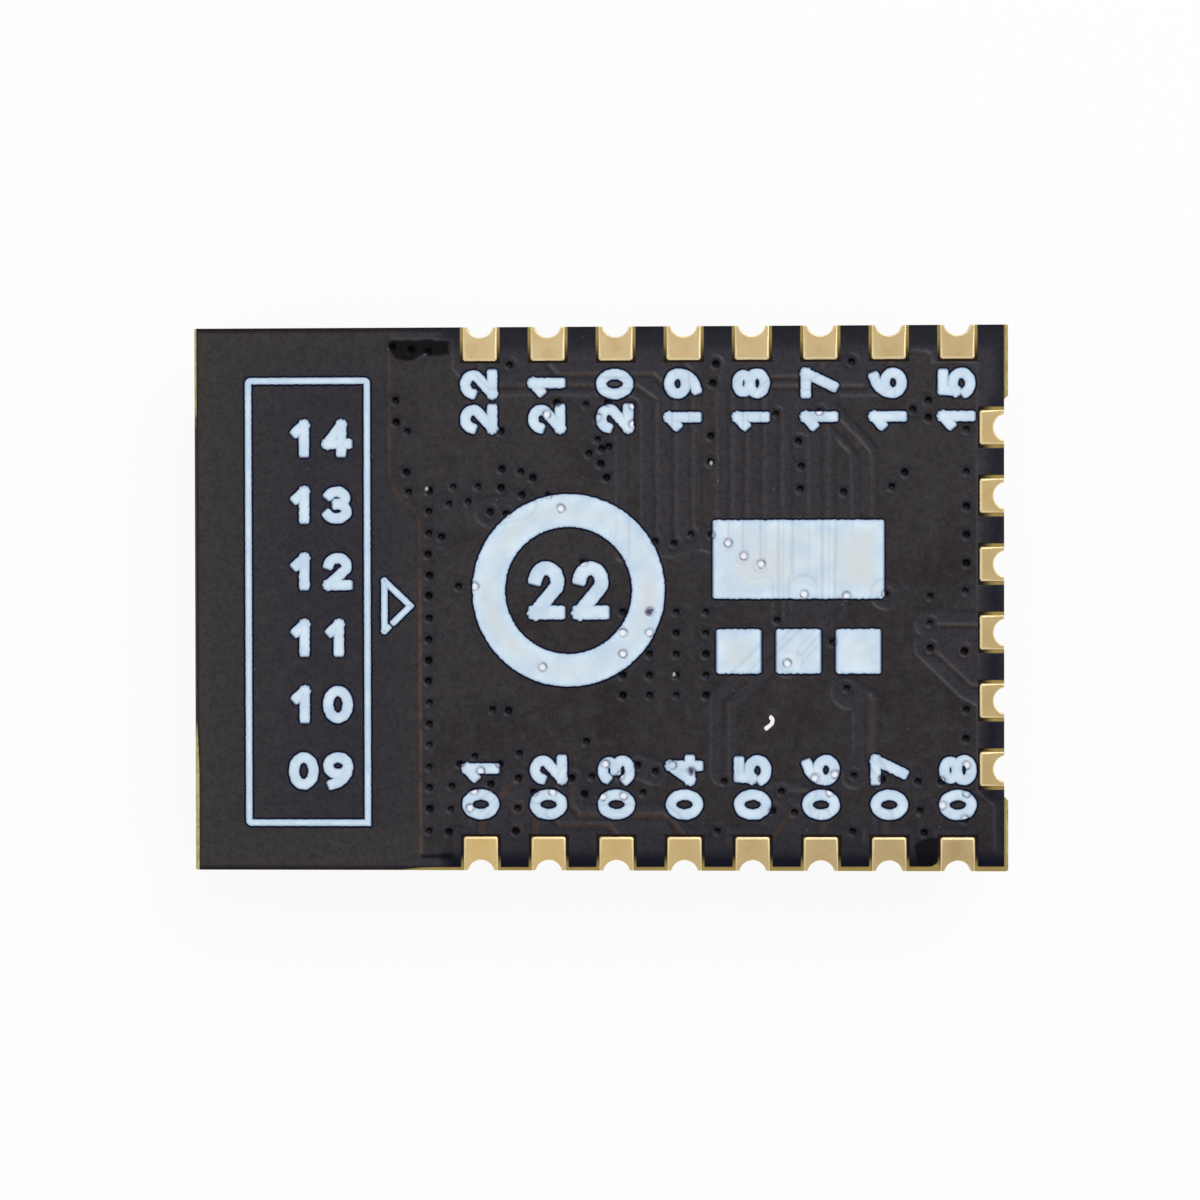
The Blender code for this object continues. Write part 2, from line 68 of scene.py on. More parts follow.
class Edge(Enum):
    """The board edge that a pad sits on, with the turn from pad axes to board axes in degrees."""

    LOWER = 0.0
    END = 90.0
    UPPER = 180.0


class Reading(Enum):
    """How a printed number is turned on the board, in degrees."""

    UPRIGHT = 0.0
    UPWARDS = 90.0


# Numbers and fields


def smoothstep(values: Array, start: float, stop: float) -> Array:
    """Blend from 0 at start to 1 at stop with the cubic 3t^2 - 2t^3.

    Args:
        values: Where to evaluate the blend.
        start: Value at which it is 0, below or above stop.
        stop: Value at which it is 1.

    Returns:
        The blend, in the shape of values.
    """
    t = np.clip((values - start) / (stop - start), 0.0, 1.0)
    return t * t * (3.0 - 2.0 * t)


def bell(values: Array, middle: float, width: float) -> Array:
    """Soft peak of height 1: exp(-t^2), with t the distance from its middle over its width.

    Args:
        values: Where to evaluate the peak.
        middle: Value at which it is 1.
        width: Distance over which it falls to 1/e.

    Returns:
        The peak, in the shape of values.
    """
    return np.exp(-(((values - middle) / width) ** 2))


def curve(values: Array, stops: Path) -> Array:
    """Curve of straight runs between stops, level beyond the first and the last."""
    return np.interp(values, *zip(*stops))


def ripple(x: Array, y: Array, size: float, seed: int) -> Array:
    """Smooth uneven field: a quarter of the sum of twelve sine waves.

    Their directions, phases and lengths are random but fixed by the seed.

    Args:
        x: Places along X.
        y: Places along Y.
        size: Length of a typical wave.
        seed: Picks the waves.

    Returns:
        Values from about -1 to 1.
    """
    rng = np.random.default_rng(seed)
    total = np.zeros(np.broadcast(x, y).shape)
    for angle, phase, stretch in rng.uniform((0, 0, 0.6), (TURN, TURN, 1.7), (12, 3)):
        k = TURN / (size * stretch)
        total += np.sin(k * (x * math.cos(angle) + y * math.sin(angle)) + phase)
    return total / 4.0


def path_distance(x: Array, y: Array, path: Sequence[Point]) -> Array:
    """Distance to a chain of straight segments: the least of the distances to each of them.

    Args:
        x: Places along X.
        y: Places along Y.
        path: Corners of the chain.

    Returns:
        Distances.
    """
    best = np.full(np.broadcast(x, y).shape, np.inf)
    for (ax, ay), (bx, by) in zip(path[:-1], path[1:]):
        dx, dy = bx - ax, by - ay
        t = np.clip(((x - ax) * dx + (y - ay) * dy) / (dx * dx + dy * dy), 0.0, 1.0)
        best = np.minimum(best, np.hypot(x - ax - t * dx, y - ay - t * dy))
    return best


def outline_distance(x: Array, y: Array, outline: Sequence[Point]) -> Array:
    """Signed distance to a closed outline, negative inside by the even-odd rule.

    Args:
        x: Places along X.
        y: Places along Y.
        outline: Corners.

    Returns:
        Signed distances.
    """
    closed = list(outline) + [outline[0]]
    inside = np.zeros(np.broadcast(x, y).shape, bool)
    for (ax, ay), (bx, by) in zip(closed[:-1], closed[1:]):
        if ay != by:
            crosses = (ay > y) != (by > y)
            inside ^= crosses & (x < ax + (y - ay) * (bx - ax) / (by - ay))
    return np.where(inside, -1.0, 1.0) * path_distance(x, y, closed)


def in_mm(box: Sequence[Sequence[float]]) -> list[Array]:
    """Corners of a box in millimetres, from metres."""
    return [np.array(corner) / MM for corner in box]


# Meshes


@dataclass
class Surface:
    """A mesh worked out as arrays.

    Attributes:
        points: Vertex places, one row each.
        quads: Corner numbers of the four-sided faces, one row each.
        caps: Corner numbers of faces with more sides.
        values: Named values per vertex.
        plan: Whether the piece gets a texture map straight from its plan.
    """

    points: Array
    quads: Array
    caps: list[Array] = field(default_factory=list)
    values: dict[str, Array] = field(default_factory=dict)
    plan: bool = False

    def turned(self, degrees: float, shift: Point) -> "Surface":
        """Turn about the upright axis, then shift in plan.

        Args:
            degrees: Turn, counter-clockwise from above.
            shift: Shift along X and Y.

        Returns:
            The same mesh in its new place.
        """
        a = math.radians(degrees)
        turn = ((math.cos(a), math.sin(a), 0), (-math.sin(a), math.cos(a), 0), (0, 0, 1))
        points = self.points @ np.array(turn) + np.array((*shift, 0.0))
        return replace(self, points=points)


def joined(parts: Sequence[Surface]) -> Surface:
    """Put several meshes into one, with the corner numbers of each moved past those before it.

    Args:
        parts: Meshes with the same named values.

    Returns:
        One mesh.
    """
    starts = np.cumsum([0] + [len(part.points) for part in parts])
    points = np.concatenate([part.points for part in parts])
    quads = np.concatenate([part.quads + start for part, start in zip(parts, starts)])
    caps = [cap + start for part, start in zip(parts, starts) for cap in part.caps]
    names = parts[0].values
    values = {name: np.concatenate([part.values[name] for part in parts]) for name in names}
    return Surface(points, quads, caps, values, parts[0].plan)


def grid_quads(rows: int, columns: int, wrap: bool = False) -> Array:
    """Faces of a grid of points that are numbered row by row.

    Args:
        rows: Points along the first parameter.
        columns: Points along the second parameter.
        wrap: Whether the last column joins the first.

    Returns:
        One row of four corner numbers per face.
    """
    index = np.arange(rows * columns).reshape(rows, columns)
    after = np.roll(index, -1, axis=1)
    if not wrap:
        index, after = index[:, :-1], after[:, :-1]
    faces = np.stack((index[:-1], index[1:], after[1:], after[:-1]), axis=-1)
    return faces.reshape(-1, 4)


def stacked(plans: Array, levels: Array) -> Array:
    """Loops in plan with a height for each.

    Args:
        plans: Plan points by row, place along the loop and coordinate; one loop may do for all.
        levels: Z of each row.

    Returns:
        Points by row, by place along the loop and by coordinate.
    """
    shape = (len(levels), plans.shape[-2])
    heights = np.broadcast_to(levels[:, None, None], (*shape, 1))
    return np.concatenate((np.broadcast_to(plans, (*shape, 2)), heights), axis=2)


def tube(rows: Array, flip: bool = True) -> Surface:
    """Closed loops of points, joined row by row and closed by a cap at each end.

    Args:
        rows: Points by row, by place along the loop and by coordinate.
        flip: Whether the faces are turned over, so that they face outwards.

    Returns:
        The mesh.
    """
    count = rows.shape[1]
    quads = grid_quads(len(rows), count, wrap=True)
    first, last = np.arange(count), np.arange(count) + (len(rows) - 1) * count
    if flip:
        return Surface(rows.reshape(-1, 3), quads[:, ::-1], [first[::-1], last])
    return Surface(rows.reshape(-1, 3), quads, [first, last[::-1]])


def add_piece(
    name: str,
    shape: Surface,
    material: Material,
    stands_for: Sequence[str] = (),
    sharp: float = 180.0,
) -> None:
    """Store a mesh as a piece that rides on the part.

    Args:
        name: Name of the piece.
        shape: Its mesh.
        material: Its material.
        stands_for: CAD nodes that the piece takes the place of.
        sharp: Angle in degrees above which an edge stays sharp.
    """
    mesh = bpy.data.meshes.new(name)
    sizes = np.array([4] * len(shape.quads) + [len(cap) for cap in shape.caps], np.int32)
    starts = np.cumsum(sizes) - sizes
    corners = np.concatenate([shape.quads.ravel(), *shape.caps]).astype(np.int32)
    mesh.vertices.add(len(shape.points))
    mesh.vertices.foreach_set("co", (shape.points * MM).astype(np.float32).ravel())
    mesh.loops.add(len(corners))
    mesh.loops.foreach_set("vertex_index", corners)
    mesh.polygons.add(len(sizes))
    mesh.polygons.foreach_set("loop_start", starts.astype(np.int32))
    mesh.update(calc_edges=True)
    mesh.validate()
    for key, array in shape.values.items():
        made = mesh.attributes.new(key, "FLOAT", "POINT")
        made.data.foreach_set("value", array.astype(np.float32))
    if shape.plan:
        flat = shape.points[:, :2] - shape.points[:, :2].min(axis=0)
        flat /= flat.max()
        layer = mesh.uv_layers.new(name="OFBake")
        layer.data.foreach_set("uv", flat[corners].astype(np.float32).ravel())
    mesh.shade_smooth()
    if sharp < 180.0:
        mesh.set_sharp_from_angle(angle=math.radians(sharp))
    mesh.materials.append(material)
    piece = bpy.data.objects.new(name, mesh)
    bpy.context.scene.collection.objects.link(piece)
    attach(piece, "root")
    if stands_for:
        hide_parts(*stands_for)
    LOG.info("%s: %d points, %d faces", name, len(shape.points), len(sizes))


# Shader graphs


class Value:
    """One shader output whose arithmetic adds Math nodes."""

    def __init__(self, graph: "Graph", socket: bpy.types.NodeSocket) -> None:
        """Wrap a socket of a graph."""
        self.graph = graph
        self.socket = socket

    def math(self, operation: str, left: Input, right: Input) -> "Value":
        """Add one Math node.

        Args:
            operation: The node's operation.
            left: First input.
            right: Second input.

        Returns:
            Its output.
        """
        return self.graph.node("ShaderNodeMath", {"operation": operation}, {0: left, 1: right})

    def __add__(self, other: Input) -> "Value":
        """Add."""
        return self.math("ADD", self, other)

    __radd__ = __add__

    def __sub__(self, other: Input) -> "Value":
        """Subtract."""
        return self.math("SUBTRACT", self, other)

    def __rsub__(self, other: Input) -> "Value":
        """Subtract from a number."""
        return self.math("SUBTRACT", other, self)

    def __mul__(self, other: Input) -> "Value":
        """Multiply."""
        return self.math("MULTIPLY", self, other)

    __rmul__ = __mul__

    def step(self, low: float, high: float) -> "Value":
        """Blend smoothly from 0 at low to 1 at high.

        Args:
            low: Where the blend starts.
            high: Where it ends.

        Returns:
            The blend.
        """
        settings = {"interpolation_type": "SMOOTHSTEP"}
        return self.graph.node("ShaderNodeMapRange", settings, {0: self, 1: low, 2: high})


class Graph:
    """The node tree of a material or of the world."""

    def __init__(self, owner: Union[Material, bpy.types.World]) -> None:
        """Start with the owner's output and its one shader."""
        owner.use_nodes = True
        self.owner = owner
        self.tree = owner.node_tree
        self.output = next(node for node in self.tree.nodes if node.type.startswith("OUTPUT"))
        self.shader = self.output.inputs["Surface"].links[0].from_node

    @staticmethod
    def named(name: str) -> "Graph":
        """The graph of a new material."""
        return Graph(bpy.data.materials.new(name))

    def node(self, kind: str, settings: dict, inputs: dict, output: Union[int, str] = 0) -> Value:
        """Add any node.

        Args:
            kind: Its Blender type.
            settings: Its properties, which are set first.
            inputs: Values or links by socket name or number.
            output: Name or number of the output to hand back.

        Returns:
            That output.
        """
        made = self.tree.nodes.new(kind)
        for key, value in settings.items():
            setattr(made, key, value)
        for key, value in inputs.items():
            self.feed(made.inputs[key], value)
        return Value(self, made.outputs[output])

    def feed(self, socket: bpy.types.NodeSocket, value: Input) -> None:
        """Link a value to a socket, or set the socket's own number.

        Args:
            socket: The input to feed.
            value: A value of this graph, a number or a colour.
        """
        if isinstance(value, Value):
            self.tree.links.new(value.socket, socket)
        elif isinstance(value, tuple) and len(value) == 3 and socket.type == "RGBA":
            socket.default_value = (*value, 1.0)
        else:
            socket.default_value = value

    def place(self, stretch: Triple = (1.0, 1.0, 1.0)) -> Value:
        """Object coordinates in millimetres, stretched along each axis.

        Args:
            stretch: Factor along X, Y and Z.

        Returns:
            The coordinates.
        """
        spot = self.node("ShaderNodeTexCoord", {}, {}, "Object")
        scale = tuple(s / MM for s in stretch)
        return self.node("ShaderNodeMapping", {}, {"Vector": spot, "Scale": scale})

    def noise(self, size: float, detail: float = 3.0, stretch: Triple = (1.0, 1.0, 1.0)) -> Value:
        """Cloud noise.

        Args:
            size: Size of a cloud.
            detail: Octaves.
            stretch: Factor on the coordinates along each axis.

        Returns:
            Values around 0.5.
        """
        inputs = {"Vector": self.place(stretch), "Scale": 1.0 / size}
        inputs |= {"Detail": detail, "Roughness": 0.55}
        return self.node("ShaderNodeTexNoise", {}, inputs, "Fac")

    def axes(self, names: str = "XYZ") -> list[Value]:
        """Object coordinates in millimetres along the named axes."""
        spot = {"Vector": self.place()}
        return [self.node("ShaderNodeSeparateXYZ", {}, spot, name) for name in names]

    def attribute(self, name: str) -> Value:
        """A named value of the mesh."""
        return self.node("ShaderNodeAttribute", {"attribute_name": name}, {}, "Fac")

    def mix(self, share: Input, first: Input, second: Input) -> Value:
        """Mix two colours.

        Args:
            share: Share of the second.
            first: A colour.
            second: A colour.

        Returns:
            The mixed colour.
        """
        return self.node("ShaderNodeMix", {"data_type": "RGBA"}, {0: share, 6: first, 7: second}, 2)

    def coats(self, shade: Input, *layers: tuple[Input, Input]) -> Input:
        """Lay colours over one another.

        Args:
            shade: The colour at the bottom.
            *layers: Share and colour of each coat, from the bottom up.

        Returns:
            The mixed colour.
        """
        for share, colour in layers:
            shade = self.mix(share, shade, colour)
        return shade

    def bump(self, height: Input, depth: float, strength: float = 1.0) -> None:
        """Let a height field tilt the surface.

        Args:
            height: The field.
            depth: Height of one unit of it.
            strength: How much of it shows.
        """
        inputs = {"Strength": strength, "Distance": depth * MM, "Height": height}
        self.set(Normal=self.node("ShaderNodeBump", {}, inputs, "Normal"))

    def set(self, **values: Input) -> None:
        """Feed the Principled shader; an underscore in a name stands for a space.

        Args:
            **values: What goes into which socket.
        """
        for key, value in values.items():
            self.feed(self.shader.inputs[key.replace("_", " ")], value)

    def finish(self, share: Value, seen: Value) -> None:
        """Mix the shader with another one and send the result to the output.

        Args:
            share: Share of the other shader.
            seen: The other shader.
        """
        body = Value(self, self.shader.outputs[0])
        mixed = self.node("ShaderNodeMixShader", {}, {0: share, 1: body, 2: seen})
        self.feed(self.output.inputs["Surface"], mixed)


# Finishes


@dataclass(frozen=True)
class MaskFinish:
    """Satin black solder mask that thins to brown on the copper edges under it.

    Attributes:
        over_pour: Colour on the ground copper, warm.
        over_plane: Colour on the ground copper where inner copper lies below it too, darker.
        over_bare: Colour where no copper lies below, bluish.
        over_via: Colour round a via and on the inner side of the antenna end, darker.
        over_open: Colour on the bare antenna end, grey.
        over_track: Colour on a narrow track, brown.
        seam: Colour of thinned mask along the antenna's ground edge.
        slope: Painted highlight where the film runs off copper towards the light, to the right or
            up.
        pale: Colour of its pale grain.
        dark: Colour of its dark grain, of touched-up spots and of the painted shade beside copper.
        rusty: Colour of the faint brown clouds in it.
        shaded: Colour of painted shade between the pads and towards the board's edges, bluish.
        solder: Colour of the painted highlights in a few vias, and of dust.
        hole: Colour of the painted shadow in the pit of a via.
        roughness: Roughness of its gloss.
        gloss: How much gloss it has.
    """

    over_pour: Colour = (0.0310, 0.0265, 0.0300)
    over_plane: Colour = (0.0165, 0.0120, 0.0130)
    over_bare: Colour = (0.0289, 0.0275, 0.0377)
    over_via: Colour = (0.0190, 0.0185, 0.0290)
    over_open: Colour = (0.0335, 0.0320, 0.0330)
    over_track: Colour = (0.0640, 0.0350, 0.0250)
    seam: Colour = (0.1150, 0.0620, 0.0400)
    slope: Colour = (0.0600, 0.0570, 0.0600)
    pale: Colour = (0.0560, 0.0530, 0.0530)
    dark: Colour = (0.0035, 0.0035, 0.0050)
    rusty: Colour = (0.0385, 0.0255, 0.0235)
    shaded: Colour = (0.0035, 0.0040, 0.0115)
    solder: Colour = (0.60, 0.57, 0.58)
    hole: Colour = (0.001, 0.001, 0.001)
    roughness: float = 0.38
    gloss: float = 0.40

    def material(self) -> Material:
        """Mix the colours by the film's own layout, with faint clouds, streaks and fine grain."""
        g = Graph.named("solder_mask")
        clouds, hue, streaks = g.noise(2.2, 5.0), g.noise(0.8, 2.0), g.noise(0.40, 4.0)
        rust, mottle, dust = g.noise(0.28, 2.0), g.noise(0.16, 3.0), g.noise(0.13, 1.0)
        grain = g.noise(0.055, 2.0)
        names = ("pit", "plane", "shade", "touched")
        pit, plane, edge, touched = (g.attribute(name) for name in names)
        bare = g.mix(plane, self.over_open, self.over_via)
        bare = g.mix(g.attribute("open"), self.over_bare, bare)
        pour = g.coats(
            self.over_pour,
            (clouds.step(0.50, 0.68) * 0.8 + plane * 0.50, self.over_plane),
            (hue.step(0.48, 0.70) * 0.5, self.over_bare),
        )
        # Besides the film's own colours, the layout's values lay painted highlights and painted
        # shade on it.
        shade = g.coats(
            bare,
            (g.attribute("copper"), pour),
            (g.attribute("halo") * 0.6, self.over_via),
            # Painted highlight where the film runs off copper towards the light.
            (g.attribute("slope") * (0.2 + streaks * 0.8), self.slope),
            (g.attribute("track") * (0.40 + streaks * 0.8), self.over_track),
            # Painted shade where the film runs off copper away from the light.
            (g.attribute("lee") * 0.55, self.dark),
            (g.attribute("seam") * streaks.step(0.20, 0.58), self.seam),
            (grain.step(0.42, 0.70) * 0.19 + streaks.step(0.45, 0.75) * 0.26, self.pale),
            (grain.step(0.58, 0.38) * 0.18 + mottle.step(0.52, 0.40) * 0.24, self.dark),
            (rust.step(0.40, 0.62) * 0.16, self.rusty),
            # Painted shade between the pads and towards the board's edges.
            (edge, self.shaded),
            (touched, self.dark),
            (dust.step(0.790, 0.850) * 0.22, self.solder),
            # Painted shadow in the pit of a via.
            (pit, self.hole),
            # Painted highlights in a few vias.
            (g.attribute("glint") * 0.9, self.solder),
        )
        gloss = (1.0 - edge * 0.75) * (1.0 - touched) * (1.0 - pit) * (0.85 + mottle * 0.30)
        g.set(Base_Color=shade, Roughness=0.7 + (grain - 0.5) * 0.2, Specular_IOR_Level=0.02)
        g.set(Coat_Weight=gloss * self.gloss, Coat_Roughness=self.roughness)
        g.bump(grain * 0.7 + streaks * 0.3, 0.005, 0.5)
        return g.owner


@dataclass(frozen=True)
class InkFinish:
    """Printed legend ink, bluish white, thinner at its margins, with painted shade in the film's
    dips.

    Attributes:
        name: Name of the material.
        full: Colour of full ink.
        thin: Colour of thin ink, and of all ink towards its margins.
        thick: Colour of the thickest ink.
        dip: Colour of painted shade over dips in the film.
        spot: Colour of the drop of ink that stands in a filled via.
        bleed: Colour of the thin oily rim that runs out of the ink.
    """

    name: str = "legend_ink"
    full: Colour = (0.730, 0.845, 0.940)
    thin: Colour = (0.450, 0.600, 0.785)
    thick: Colour = (0.670, 0.730, 0.760)
    dip: Colour = (0.075, 0.070, 0.140)
    spot: Colour = (0.900, 0.900, 0.960)
    bleed: Colour = (0.002, 0.002, 0.016)

    def material(self) -> Material:
        """Mix the inks by soft clouds and the print's margins, with painted shade in its dips."""
        g = Graph.named(self.name)
        clouds, patches, grain = g.noise(0.6, 3.0), g.noise(2.4, 2.0), g.noise(0.05, 2.0)
        shade = g.coats(
            self.thin,
            ((0.40 + clouds.step(0.25, 0.75) * 0.60) * g.attribute("core"), self.full),
            ((0.35 + patches.step(0.40, 0.62) * 0.65) * g.attribute("deep"), self.thick),
            # Painted shade over the dips of the film.
            (g.attribute("dip"), self.dip),
            (g.attribute("spot"), self.spot),
            (g.attribute("margin"), self.bleed),
        )
        g.set(Base_Color=shade, Roughness=0.60 + (grain - 0.5) * 0.3, Specular_IOR_Level=0.12)
        g.bump(grain * 0.6 + clouds * 0.4, 0.004, 0.5)
        return g.owner


@dataclass(frozen=True)
class GoldFinish:
    """Thin pale gold over nickel and copper, faintly brushed.

    Attributes:
        plate: Colour of the plate.
        deep: Colour in hollows and stains, and of painted shade towards the pad end.
        painted_gold_highlight: Colour of painted highlight on the rounded rims and the sides of the
            lands.
        warm: Warmer colour mixed into the lower lands and a little into the end lands.
        roughness: Middle roughness.
        end_lands: X over which the side lands give way to the end lands.
        lower_lands: Y over which the lower lands start.
        painted_falloff: X over which painted shade darkens the plate towards the pad end.
        cooler: X over which the lower lands lose their warmth.
    """

    plate: Colour = (0.80, 0.605, 0.325)
    deep: Colour = (0.60, 0.42, 0.18)
    painted_gold_highlight: Colour = (1.0, 0.86, 0.52)
    warm: Colour = (0.92, 0.64, 0.235)
    roughness: float = 0.34
    end_lands: Point = (11.10, 11.16)
    lower_lands: Point = (-6.5, -7.0)
    painted_falloff: Point = (5.0, 11.0)
    cooler: Point = (8.0, -2.0)

    def material(self) -> Material:
        """Mix plate and stain by clouds, with short scratches in the roughness and the bump.

        The plate gets painted shade towards the pad end, and a painted highlight towards the
        sides of each land, whose distance from the land's middle line comes from a zigzag at the
        pad pitch, and along its rounded rim.
        """
        g = Graph.named("gold_plate")
        clouds, grain = g.noise(0.55, 4.0), g.noise(0.035, 2.0)
        scratches = g.noise(0.03, 2.0, (0.12, 1.0, 1.0))
        rim = g.attribute("rim")
        x, y = g.axes("XY")
        at_end = x.step(*self.end_lands)
        lower = y.step(*self.lower_lands) * x.step(*self.cooler)
        across = x.math("PINGPONG", x - 0.5, 1.0) * (1.0 - at_end)
        across += x.math("PINGPONG", y - 1.0, 1.0) * at_end
        shade = g.coats(
            self.plate,
            # Stains by clouds, and painted shade towards the pad end.
            (clouds.step(0.40, 0.72) * 0.45 + x.step(*self.painted_falloff) * 0.26, self.deep),
            (lower * 0.6 + at_end * 0.2, self.warm),
            # Painted highlight towards the sides of each land and along its rounded rim.
            (across.step(0.05, 0.50) * 0.14, self.painted_gold_highlight),
            (rim, self.painted_gold_highlight),
        )
        rough = self.roughness + (clouds - 0.5) * 0.15 + (scratches - 0.5) * 0.18 + rim * 0.28
        g.set(Base_Color=shade, Metallic=1.0, Roughness=rough)
        g.bump(scratches * 0.5 + grain * 0.5, 0.004, 0.5)
        return g.owner


@dataclass(frozen=True)
class LaminateFinish:
    """Cut glass laminate: olive resin with pale fibre bundles that run along the layers.

    Attributes:
        resin: Colour of the resin.
        fibre: Colour of the bundles.
        burnt: Colour of dark cut marks.
        etched: Colour of the faces where the copper is etched away, darkened by painted shade,
        at the inner ends of the lands, and of the middle of the scored end.
        sunlit: Colour of those faces at the board's edge, where light comes through the resin.
        split: Colour of broken fibres at the ends of the scored end.
        face: Z over which the solder-side face starts.
        upper_rim: Y over which that face turns sunlit at the upper edge.
        lower_rim: The same at the lower edge.
        end_rim: X over which it does so at the pad end.
        score_x: X over which the scored end starts.
        score_z: Z over which it starts.
        stain_top: Y over which the stain on it ends.
        stain_foot: The same at its lower end.
    """

    resin: Colour = (0.30, 0.235, 0.060)
    fibre: Colour = (0.52, 0.45, 0.20)
    burnt: Colour = (0.10, 0.075, 0.025)
    etched: Colour = (0.016, 0.007, 0.004)
    sunlit: Colour = (0.360, 0.260, 0.080)
    split: Colour = (0.58, 0.51, 0.235)
    face: Point = (3.04, 3.05)
    upper_rim: Point = (7.00, 7.75)
    lower_rim: Point = (-7.52, -7.92)
    end_rim: Point = (11.20, 11.62)
    score_x: Point = (-11.78, -11.82)
    score_z: Point = (2.78, 2.84)
    stain_top: Point = (5.8, 5.0)
    stain_foot: Point = (-4.3, -3.5)

    def material(self) -> Material:
        """Mix resin and fibre by layered noise, darkened by cut marks through the thickness."""
        g = Graph.named("cut_laminate")
        layers = g.noise(0.09, 3.0, (0.18, 0.18, 1.0))
        bundles = g.noise(0.30, 3.0, (1.0, 1.0, 0.4))
        cuts = g.noise(0.10, 3.0, (1.0, 1.0, 0.12))
        x, y, z = g.axes()
        rim = x.math("MAXIMUM", y.step(*self.upper_rim), y.step(*self.lower_rim))
        rim = x.math("MAXIMUM", rim, x.step(*self.end_rim)) * (0.7 + bundles * 0.6)
        torn = y + (bundles - 0.5) * 1.6
        worn = g.coats(
            self.split,
            (bundles.step(0.40, 0.66) * 0.5, self.resin),
            (cuts.step(0.52, 0.75) * 0.5, self.burnt),
        )
        stained = g.mix(layers.step(0.45, 0.70) * 0.20, self.etched, self.burnt)
        stain = torn.step(*self.stain_top) * torn.step(*self.stain_foot)
        shade = g.coats(
            self.resin,
            (layers.step(0.40, 0.66), self.fibre),
            (bundles.step(0.48, 0.72) * 0.5, self.fibre),
            (cuts.step(0.52, 0.75) * 0.6, self.burnt),
            # Etched faces in painted shade, with the sunlit colour at the board's edges.
            (z.step(*self.face), g.mix(rim, self.etched, self.sunlit)),
            (x.step(*self.score_x) * z.step(*self.score_z), g.mix(stain, worn, stained)),
        )
        g.set(Base_Color=shade, Roughness=0.62 + (layers - 0.5) * 0.3, Specular_IOR_Level=0.12)
        g.bump(layers * 0.5 + cuts * 0.5, 0.02, 0.8)
        return g.owner


@dataclass(frozen=True)
class SheetFinish:
    """Rolled and plated sheet metal with fine rolling lines and faint finger marks.

    Attributes:
        name: Name of the material.
        colour: Colour of the clean sheet.
        dull: Colour of its marks.
        roughness: Middle roughness.
        grain: How far the rolling lines are drawn out along X.
    """

    name: str = "plated_sheet"
    colour: Colour = (0.50, 0.49, 0.47)
    dull: Colour = (0.40, 0.39, 0.37)
    roughness: float = 0.32
    grain: float = 0.03

    def material(self) -> Material:
        """Draw noise out along X for the rolling lines, and cloud the colour and the roughness."""
        g = Graph.named(self.name)
        lines = g.noise(0.045, 3.0, (self.grain, 1.0, 1.0))
        clouds, spots = g.noise(3.0, 4.0), g.noise(0.25, 2.0)
        marks = clouds.step(0.42, 0.75) * 0.6 + spots.step(0.6, 0.78) * 0.25
        shade = g.mix(marks, self.colour, self.dull)
        g.set(Base_Color=shade, Metallic=1.0)
        g.set(Roughness=self.roughness + (clouds - 0.5) * 0.2 + (lines - 0.5) * 0.22)
        g.bump(lines, 0.006, 0.5)
        return g.owner


@dataclass(frozen=True)
class GrainFinish:
    """Dull fired or moulded body with a speckled grain, for the parts under the can.

    Attributes:
        name: Name of the material.
        colour: Main colour.
        speck: Colour of the specks.
        size: Size of a speck.
        roughness: Middle roughness.
        metal: Metallic share.
    """

    name: str
    colour: Colour
    speck: Colour
    size: float = 0.06
    roughness: float = 0.5
    metal: float = 0.0

    def material(self) -> Material:
        """Mix main colour and specks by fine noise, and cloud the roughness."""
        g = Graph.named(self.name)
        specks, clouds = g.noise(self.size, 3.0), g.noise(self.size * 9.0, 3.0)
        share = specks.step(0.45, 0.68) * 0.7 + clouds.step(0.5, 0.8) * 0.3
        g.set(Base_Color=g.mix(share, self.colour, self.speck), Metallic=self.metal)
        g.set(Roughness=self.roughness + (clouds - 0.5) * 0.25)
        g.bump(specks, 0.006, 0.6)
        return g.owner


@dataclass(frozen=True)
class ChipFinish:
    """Two-ended chip part: a fired body with a speckled grain between tinned ends.

    Attributes:
        name: Name of the material.
        body: Colour of the body.
        speck: Colour of its specks.
        centre: Middle of the part.
        half: Half its length.
        lengthwise: Output of the coordinates along its length.
        cap: Length of a tinned end.
        tin: Colour of the ends.
    """

    name: str
    body: Colour
    speck: Colour
    centre: float
    half: float
    lengthwise: str
    cap: float = 0.25
    tin: Colour = (0.62, 0.62, 0.62)

    def material(self) -> Material:
        """Mix specks into the body, and tin where the distance from the middle passes the caps."""
        g = Graph.named(self.name)
        specks, clouds = g.noise(0.05, 3.0), g.noise(0.3, 3.0)
        offset = g.axes(self.lengthwise)[0] - self.centre
        away = offset.math("ABSOLUTE", offset, 0.0) + (specks - 0.5) * 0.03
        seam = self.half - self.cap
        ends = away.step(seam - 0.01, seam + 0.01)
        shade = g.coats(
            self.body,
            (specks.step(0.45, 0.7), self.speck),
            (ends * (0.85 + clouds * 0.3), self.tin),
        )
        g.set(Base_Color=shade, Metallic=ends, Roughness=0.42 + (clouds - 0.5) * 0.3 - ends * 0.12)
        g.bump(specks, 0.004, 0.5)
        return g.owner


# Board layout


@dataclass(frozen=True)
class Stack:
    """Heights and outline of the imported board, read from the CAD nodes.

    Attributes:
        half_length: Half the board's length.
        half_width: Half its width.
        end_edge: X of the milled pad end.
        laminate_front: Z of the laminate's component side.
        laminate_back: Z of its solder side.
        land_front: Z of the lands on the component side.
        land_back: Z of the lands on the solder side.
    """

    half_length: float
    half_width: float
    end_edge: float
    laminate_front: float
    laminate_back: float
    land_front: float
    land_back: float

    @staticmethod
    def packed() -> "Stack":
        """Read the boxes of the laminate and of one end pad."""
        low, high = in_mm(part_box("laminate_board"))
        pad_low, pad_high = in_mm(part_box("castellation_09"))
        return Stack(high[0], high[1], pad_high[0], low[2], high[2], pad_low[2], pad_high[2])


